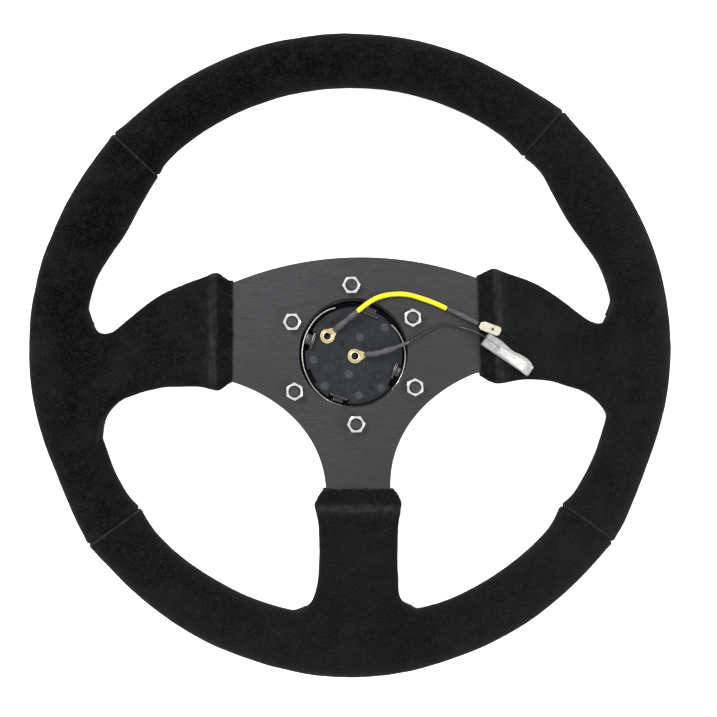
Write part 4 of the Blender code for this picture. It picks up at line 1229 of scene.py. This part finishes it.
def make_eyelets():
    """Tubular rivets with rolled flanges, and the ring tags under them."""
    for name, centre, low, foot, angle in (
        ("centre", CENTRE_EYELET, 43.8, 3.2, 5.8), ("side", SIDE_EYELET, 43.0, 3.0, 37.4),
    ):
        profile = [(1.55, low), (1.55, 48.5), (1.65, 48.8), (1.85, 49.05), (2.1, 49.12)]
        profile += [(2.4, 49.05), (2.7, 48.85), (2.85, 48.6), (2.8, 48.5), (2.1, 48.48)]
        profile += [(2.1, low + 0.4), (foot, low + 0.4), (foot, low)]
        mesh = turned(profile, 64, centre)
        piece = new_piece(f"eyelet_{name}_fine", mesh, "brass", "contacts", f"eyelet_{name}")
        # The bore and the inner edge of its flange get the dark painted shade.
        middle = Vector(centre) * MM
        second_finish(piece, "bore", lambda face: (face.center.xy - middle).length < 1.78 * MM)
        make_ring_tag(name, centre, angle)


def make_ring_tag(name, centre, angle):
    turns = [radians(48 + 264 * i / 47) for i in range(48)]
    outline = [(3.65 * cos(t), 3.65 * sin(t)) for t in turns]
    outline += [(4.3, -1.85), (5.2, -1.4), (6.5, -0.9), (6.5, 0.9), (5.2, 1.4), (4.3, 1.85)]
    build = bmesh_of(flat_mesh([outline, circle(2.4, count=32)], 47.8, 48.35, 0.18, 2))
    bend = 3.9 * MM
    cut(build, (bend, 0, 0), (1, 0, 0))
    for vert in build.verts:
        vert.co.z += max(vert.co.x - bend, 0.0) * 0.75
    turn = Matrix.Rotation(radians(angle), 4, "Z")
    build.transform(Matrix.Translation(Vector((centre[0], centre[1], 0.0)) * MM) @ turn)
    new_piece(f"ring_tag_{name}", mesh_of(build, 30.0), "tag", "contacts", f"ring_terminal_{name}")


# Bright wire clip: degrees from +X and radius; a lip of the housing hides its lowest run.
CLIP_KEYS = [
    (-251, 25.6), (-239, 26.3), (-228, 26.5), (-182, 26.2), (-158, 26.1), (-145, 26.3),
    (-121, 26.7), (-80, 26.5), (-32, 26.7), (0, 26.5), (16, 26), (36, 24.7),
]


def make_springs():
    ring = []
    for i in range(241):
        degrees = CLIP_KEYS[0][0] + (CLIP_KEYS[-1][0] - CLIP_KEYS[0][0]) * i / 240
        reach = flowing(CLIP_KEYS, degrees)[0]
        hidden = eased((degrees + 124) / 8) * eased((-36 - degrees) / 8)
        ring.append(polar(reach, radians(degrees), 49.0 - 1.5 * hidden))
    radii = [0.42] * len(ring)
    radii[0] = radii[-1] = 0.3
    clip = loft(tube_rings(ring, radii, 12))
    new_piece("snap_ring_fine", clip, "spring", "spring_steel", "snap_ring")
    coil = []
    for i in range(145):
        share = i / 144
        coil.append(polar(6.2, 2 * pi * 3.0 * share, SPRING_LOW_Z + 8.3 * share))
    mesh = loft(tube_rings(coil, [0.5] * len(coil), 12))
    spring = new_piece("return_spring_fine", mesh, "spring", "spring_steel", "return_spring")
    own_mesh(spring)


def make_cap():
    """The driver's side of the button: a domed gloss cap and a plain brushed disc in it."""
    profile = [
        (0, 34.2), (17, 34.2), (17, 40.6), (18.6, 40.6), (18.6, 34.4), (22.6, 35.6),
        (22.6, 40.5), (25.2, 40.5), (25.2, 39.3), (24.2, 39.3), (24.2, 35), (23.8, 34.1),
        (23, 33.4), (21.6, 32.75), (20, 32.2), (17.6, 31.75), (15.6, 31.5), (15.3, 31.7),
        (15.2, 32.6), (0, 32.6),
    ]
    cap = turned(profile, 128, radius=0.25)
    new_piece("button_cap_fine", cap, "gloss", "cap", "button_cap", body="horn_button")
    profile = [(0.0, 32.3), (14.7, 32.3), (14.8, 32.2), (14.8, 31.75), (14.6, 31.65), (12.4, 31.5)]
    profile += [(12.2, 31.62), (11.8, 31.6), (11.6, 31.45), (8.0, 31.36), (4.0, 31.31), (0.0, 31.3)]
    disc = turned(profile, 128)
    new_piece("cap_insert_fine", disc, "insert", "cap", "cap_insert", body="horn_button")


# ---- leads


def wire_curve(name, points, radius):
    curve = bpy.data.curves.new(name, "CURVE")
    curve.dimensions = "3D"
    curve.bevel_depth = radius * MM
    curve.bevel_resolution = 4
    curve.use_fill_caps = True
    spline = curve.splines.new("POLY")
    spline.points.add(len(points) - 1)
    for place, point in zip(spline.points, points):
        place.co = (*(point * MM), 1.0)
    return curve


def run_of(points, first, last):
    """The points between two shares of the line's length."""
    whole = len(points) - 1
    return points[round(first * whole) : round(last * whole) + 1]


def sleeve_mesh(points, radii, bore):
    """A tube with a wall, open at both ends."""
    outer = tube_rings(points, radii, 20)
    inner = tube_rings(points, [bore] * len(points), 20)
    return loft(outer + inner[::-1], closed=True, angle=50.0)


def drawn_back(run, eyelet, reach):
    """A sleeve's line, drawn back over its tag's tongue to reach mm from the eyelet."""
    start = run[0]
    way = Vector((eyelet[0] - start.x, eyelet[1] - start.y, 0.0))
    back = way.length - reach
    way.normalize()
    extra = [start + (way - UP * 0.7) * back * (1 - i / 5) for i in range(5)]
    return extra + run


def sleeve_ends(radii, radius, count=2):
    """Draw a sleeve's two ends in a little, so that its edges look soft."""
    for i in range(count):
        radii[i] = min(radii[i], radius * (0.86 + 0.07 * i))
        radii[-1 - i] = min(radii[-1 - i], radius * (0.86 + 0.07 * i))
    return radii


def make_side_lead():
    points = smooth_route(SIDE_ROUTE, 121)
    curve = wire_curve("lead_side", points, 0.6)
    wire = new_piece("lead_side", curve, "wire", "insulation", "wire_side")
    shrink = drawn_back(run_of(points, 0.0, 0.165), SIDE_EYELET, 4.7)
    radii = sleeve_ends(lumpy(shrink, 1.55, 0.28, 0.45, 2.0), 1.4)
    for i in range(len(radii)):
        radii[i] -= 0.25 * eased((i - len(radii) + 7) / 6)
    sleeve = sleeve_mesh(shrink, radii, 0.62)
    first = new_piece("heat_shrink_side", sleeve, "dark", "dark_sleeving", "shrink_sleeve_side")
    run = run_of(points, 0.169, 0.778)
    radii = sleeve_ends(lumpy(run, 1.25, 0.05, 0.2, 5.0), 1.25)
    sleeve = sleeve_mesh(run, radii, 0.8)
    second = new_piece("yellow_tube", sleeve, "yellow", "yellow_sleeving", "yellow_sleeve")
    run = run_of(points, 0.782, 1.0)
    radii = lumpy(run, 1.1, 0.25, 0.5, 8.0)
    for i in range(len(radii)):
        share = i / (len(radii) - 1)
        radii[i] += 0.5 * exp(-(((share - 0.45) / 0.2) ** 2)) - 0.1 * share
    sleeve = sleeve_mesh(run, sleeve_ends(radii, 1.1), 0.62)
    third = new_piece("heat_shrink_tab", sleeve, "dark", "dark_sleeving", "dark_sleeve")
    tab = make_tab()


def aimed(mesh, place, turn, pitch):
    shift = Matrix.Translation(Vector(place) * MM)
    heading = Matrix.Rotation(radians(turn), 4, "Z")
    mesh.transform(shift @ heading @ Matrix.Rotation(radians(-pitch), 4, "Y"))
    return mesh


def make_tab():
    """The bare blade, its edges chamfered, with its locking hole."""
    end, half = 5.4, 2.35
    outline = [
        (-end, half - 1.3), (-end, 0.9 - half), (-end + 1.2, -half), (end - 1.0, -half),
        (end, 1.0 - half), (end, half - 1.0), (end - 1.0, half), (-end + 1.9, half),
    ]
    blade = flat_mesh([outline, circle(0.62, (1.4, 0.0), 24)], -0.4, 0.4, 0.14, 2)
    aimed(blade, *TAB_PLACE)
    return new_piece("tab_blade", blade, "tinned", "terminals", "tab_terminal")


COVER_EDGE = [(0, 3.65), (8, 3.65), (13.5, 2.9), (16, 2.8), (19, 3.4), (24.8, 3.4), (28.4, 1.9)]


def cover_ring(along, shrink):
    high = flowing(COVER_EDGE, min(along, COVER_LENGTH))[0] - shrink
    edge = section(high, shrink - 3.65, 1.6 - shrink, 0.85 - shrink * 0.8)
    return [(along, across, up) for across, up in edge]


def make_centre_lead():
    points = smooth_route(CENTRE_ROUTE, 121)
    curve = wire_curve("lead_centre", points, 0.5)
    wire = new_piece("lead_centre", curve, "wire", "insulation", "wire_centre")
    run = drawn_back(run_of(points, 0.0, 0.296), CENTRE_EYELET, 5.4)
    radii = sleeve_ends(lumpy(run, 1.55, 0.2, 0.4, 4.0), 1.5)
    for i in range(len(radii)):
        radii[i] -= 0.75 * eased((i / (len(radii) - 1) - 0.45) / 0.55)
    sleeve = sleeve_mesh(run, radii, 0.52)
    node = "shrink_sleeve_centre"
    shrink = new_piece("heat_shrink_centre", sleeve, "dark", "dark_sleeving", node)
    stations = [COVER_LENGTH * i / 42 for i in range(43)]
    outer = [cover_ring(x, 0.0) for x in stations]
    inner = [cover_ring(x, 0.5) for x in stations]
    cover = aimed(loft(outer + inner[::-1], closed=True, angle=50.0), *COVER_PLACE)
    clear = new_piece("clear_sleeve", cover, "vinyl", "clear_vinyl", "clear_cover")
    spade = make_spade()


def make_spade():
    """The female spade in the clear sleeve: a strip whose edges roll over."""
    half, rise, sheet, slot = 2.3, 0.75, 0.4, 0.8
    strip = [
        (half, -rise), (half, rise), (slot, rise), (slot, rise - sheet),
        (half - sheet, rise - sheet), (half - sheet, sheet - rise), (sheet - half, sheet - rise),
        (sheet - half, rise - sheet), (-slot, rise - sheet), (-slot, rise), (-half, rise),
        (-half, -rise),
    ]
    rings = []
    for along, wide in ((0, 0.62), (2, 0.70), (6.5, 0.72), (8.5, 1), (15, 1), (15.5, 0.96)):
        tall = 0.9 if wide < 0.9 else 1.0
        rings.append([(9.4 + along, y * wide - 0.6, z * tall) for y, z in strip])
    mesh = aimed(loft(rings, angle=25.0), *COVER_PLACE)
    return new_piece("spade", mesh, "silver", "terminals", "spade_receptacle")


# ---- everything


def make_floor():
    build = bmesh.new()
    bmesh.ops.create_grid(build, x_segments=8, y_segments=8, size=3.0)
    mesh = mesh_of(build)
    floor = Finish("floor", "pale_floor", (0.92, 0.92, 0.92), 0.7, Specular_IOR_Level=0.1)
    floor.tint(200.0, (0.90, 0.90, 0.90), 0.5)
    put(floor.shader, Emission_Color=WHITE, Emission_Strength=0.8)
    mesh.materials.append(floor.material)
    obj = linked("floor", mesh)
    obj.location.z = -0.0002


def finish_cad_nodes():
    """Better materials for the CAD nodes that stay."""
    kept = {"rim_core": "steel", "contact_ring": "brass", "contact_disc": "brass"}
    for name, finish in kept.items():
        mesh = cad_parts[name].data
        mesh.materials.clear()
        mesh.materials.append(FINISHES[finish])


place_camera()
make_side_lead()
make_centre_lead()
make_plate()
make_fasteners()
make_housing()
make_base()
make_eyelets()
make_springs()
make_cap()
make_stitching(make_covers())
finish_cad_nodes()
make_floor()
light_studio()
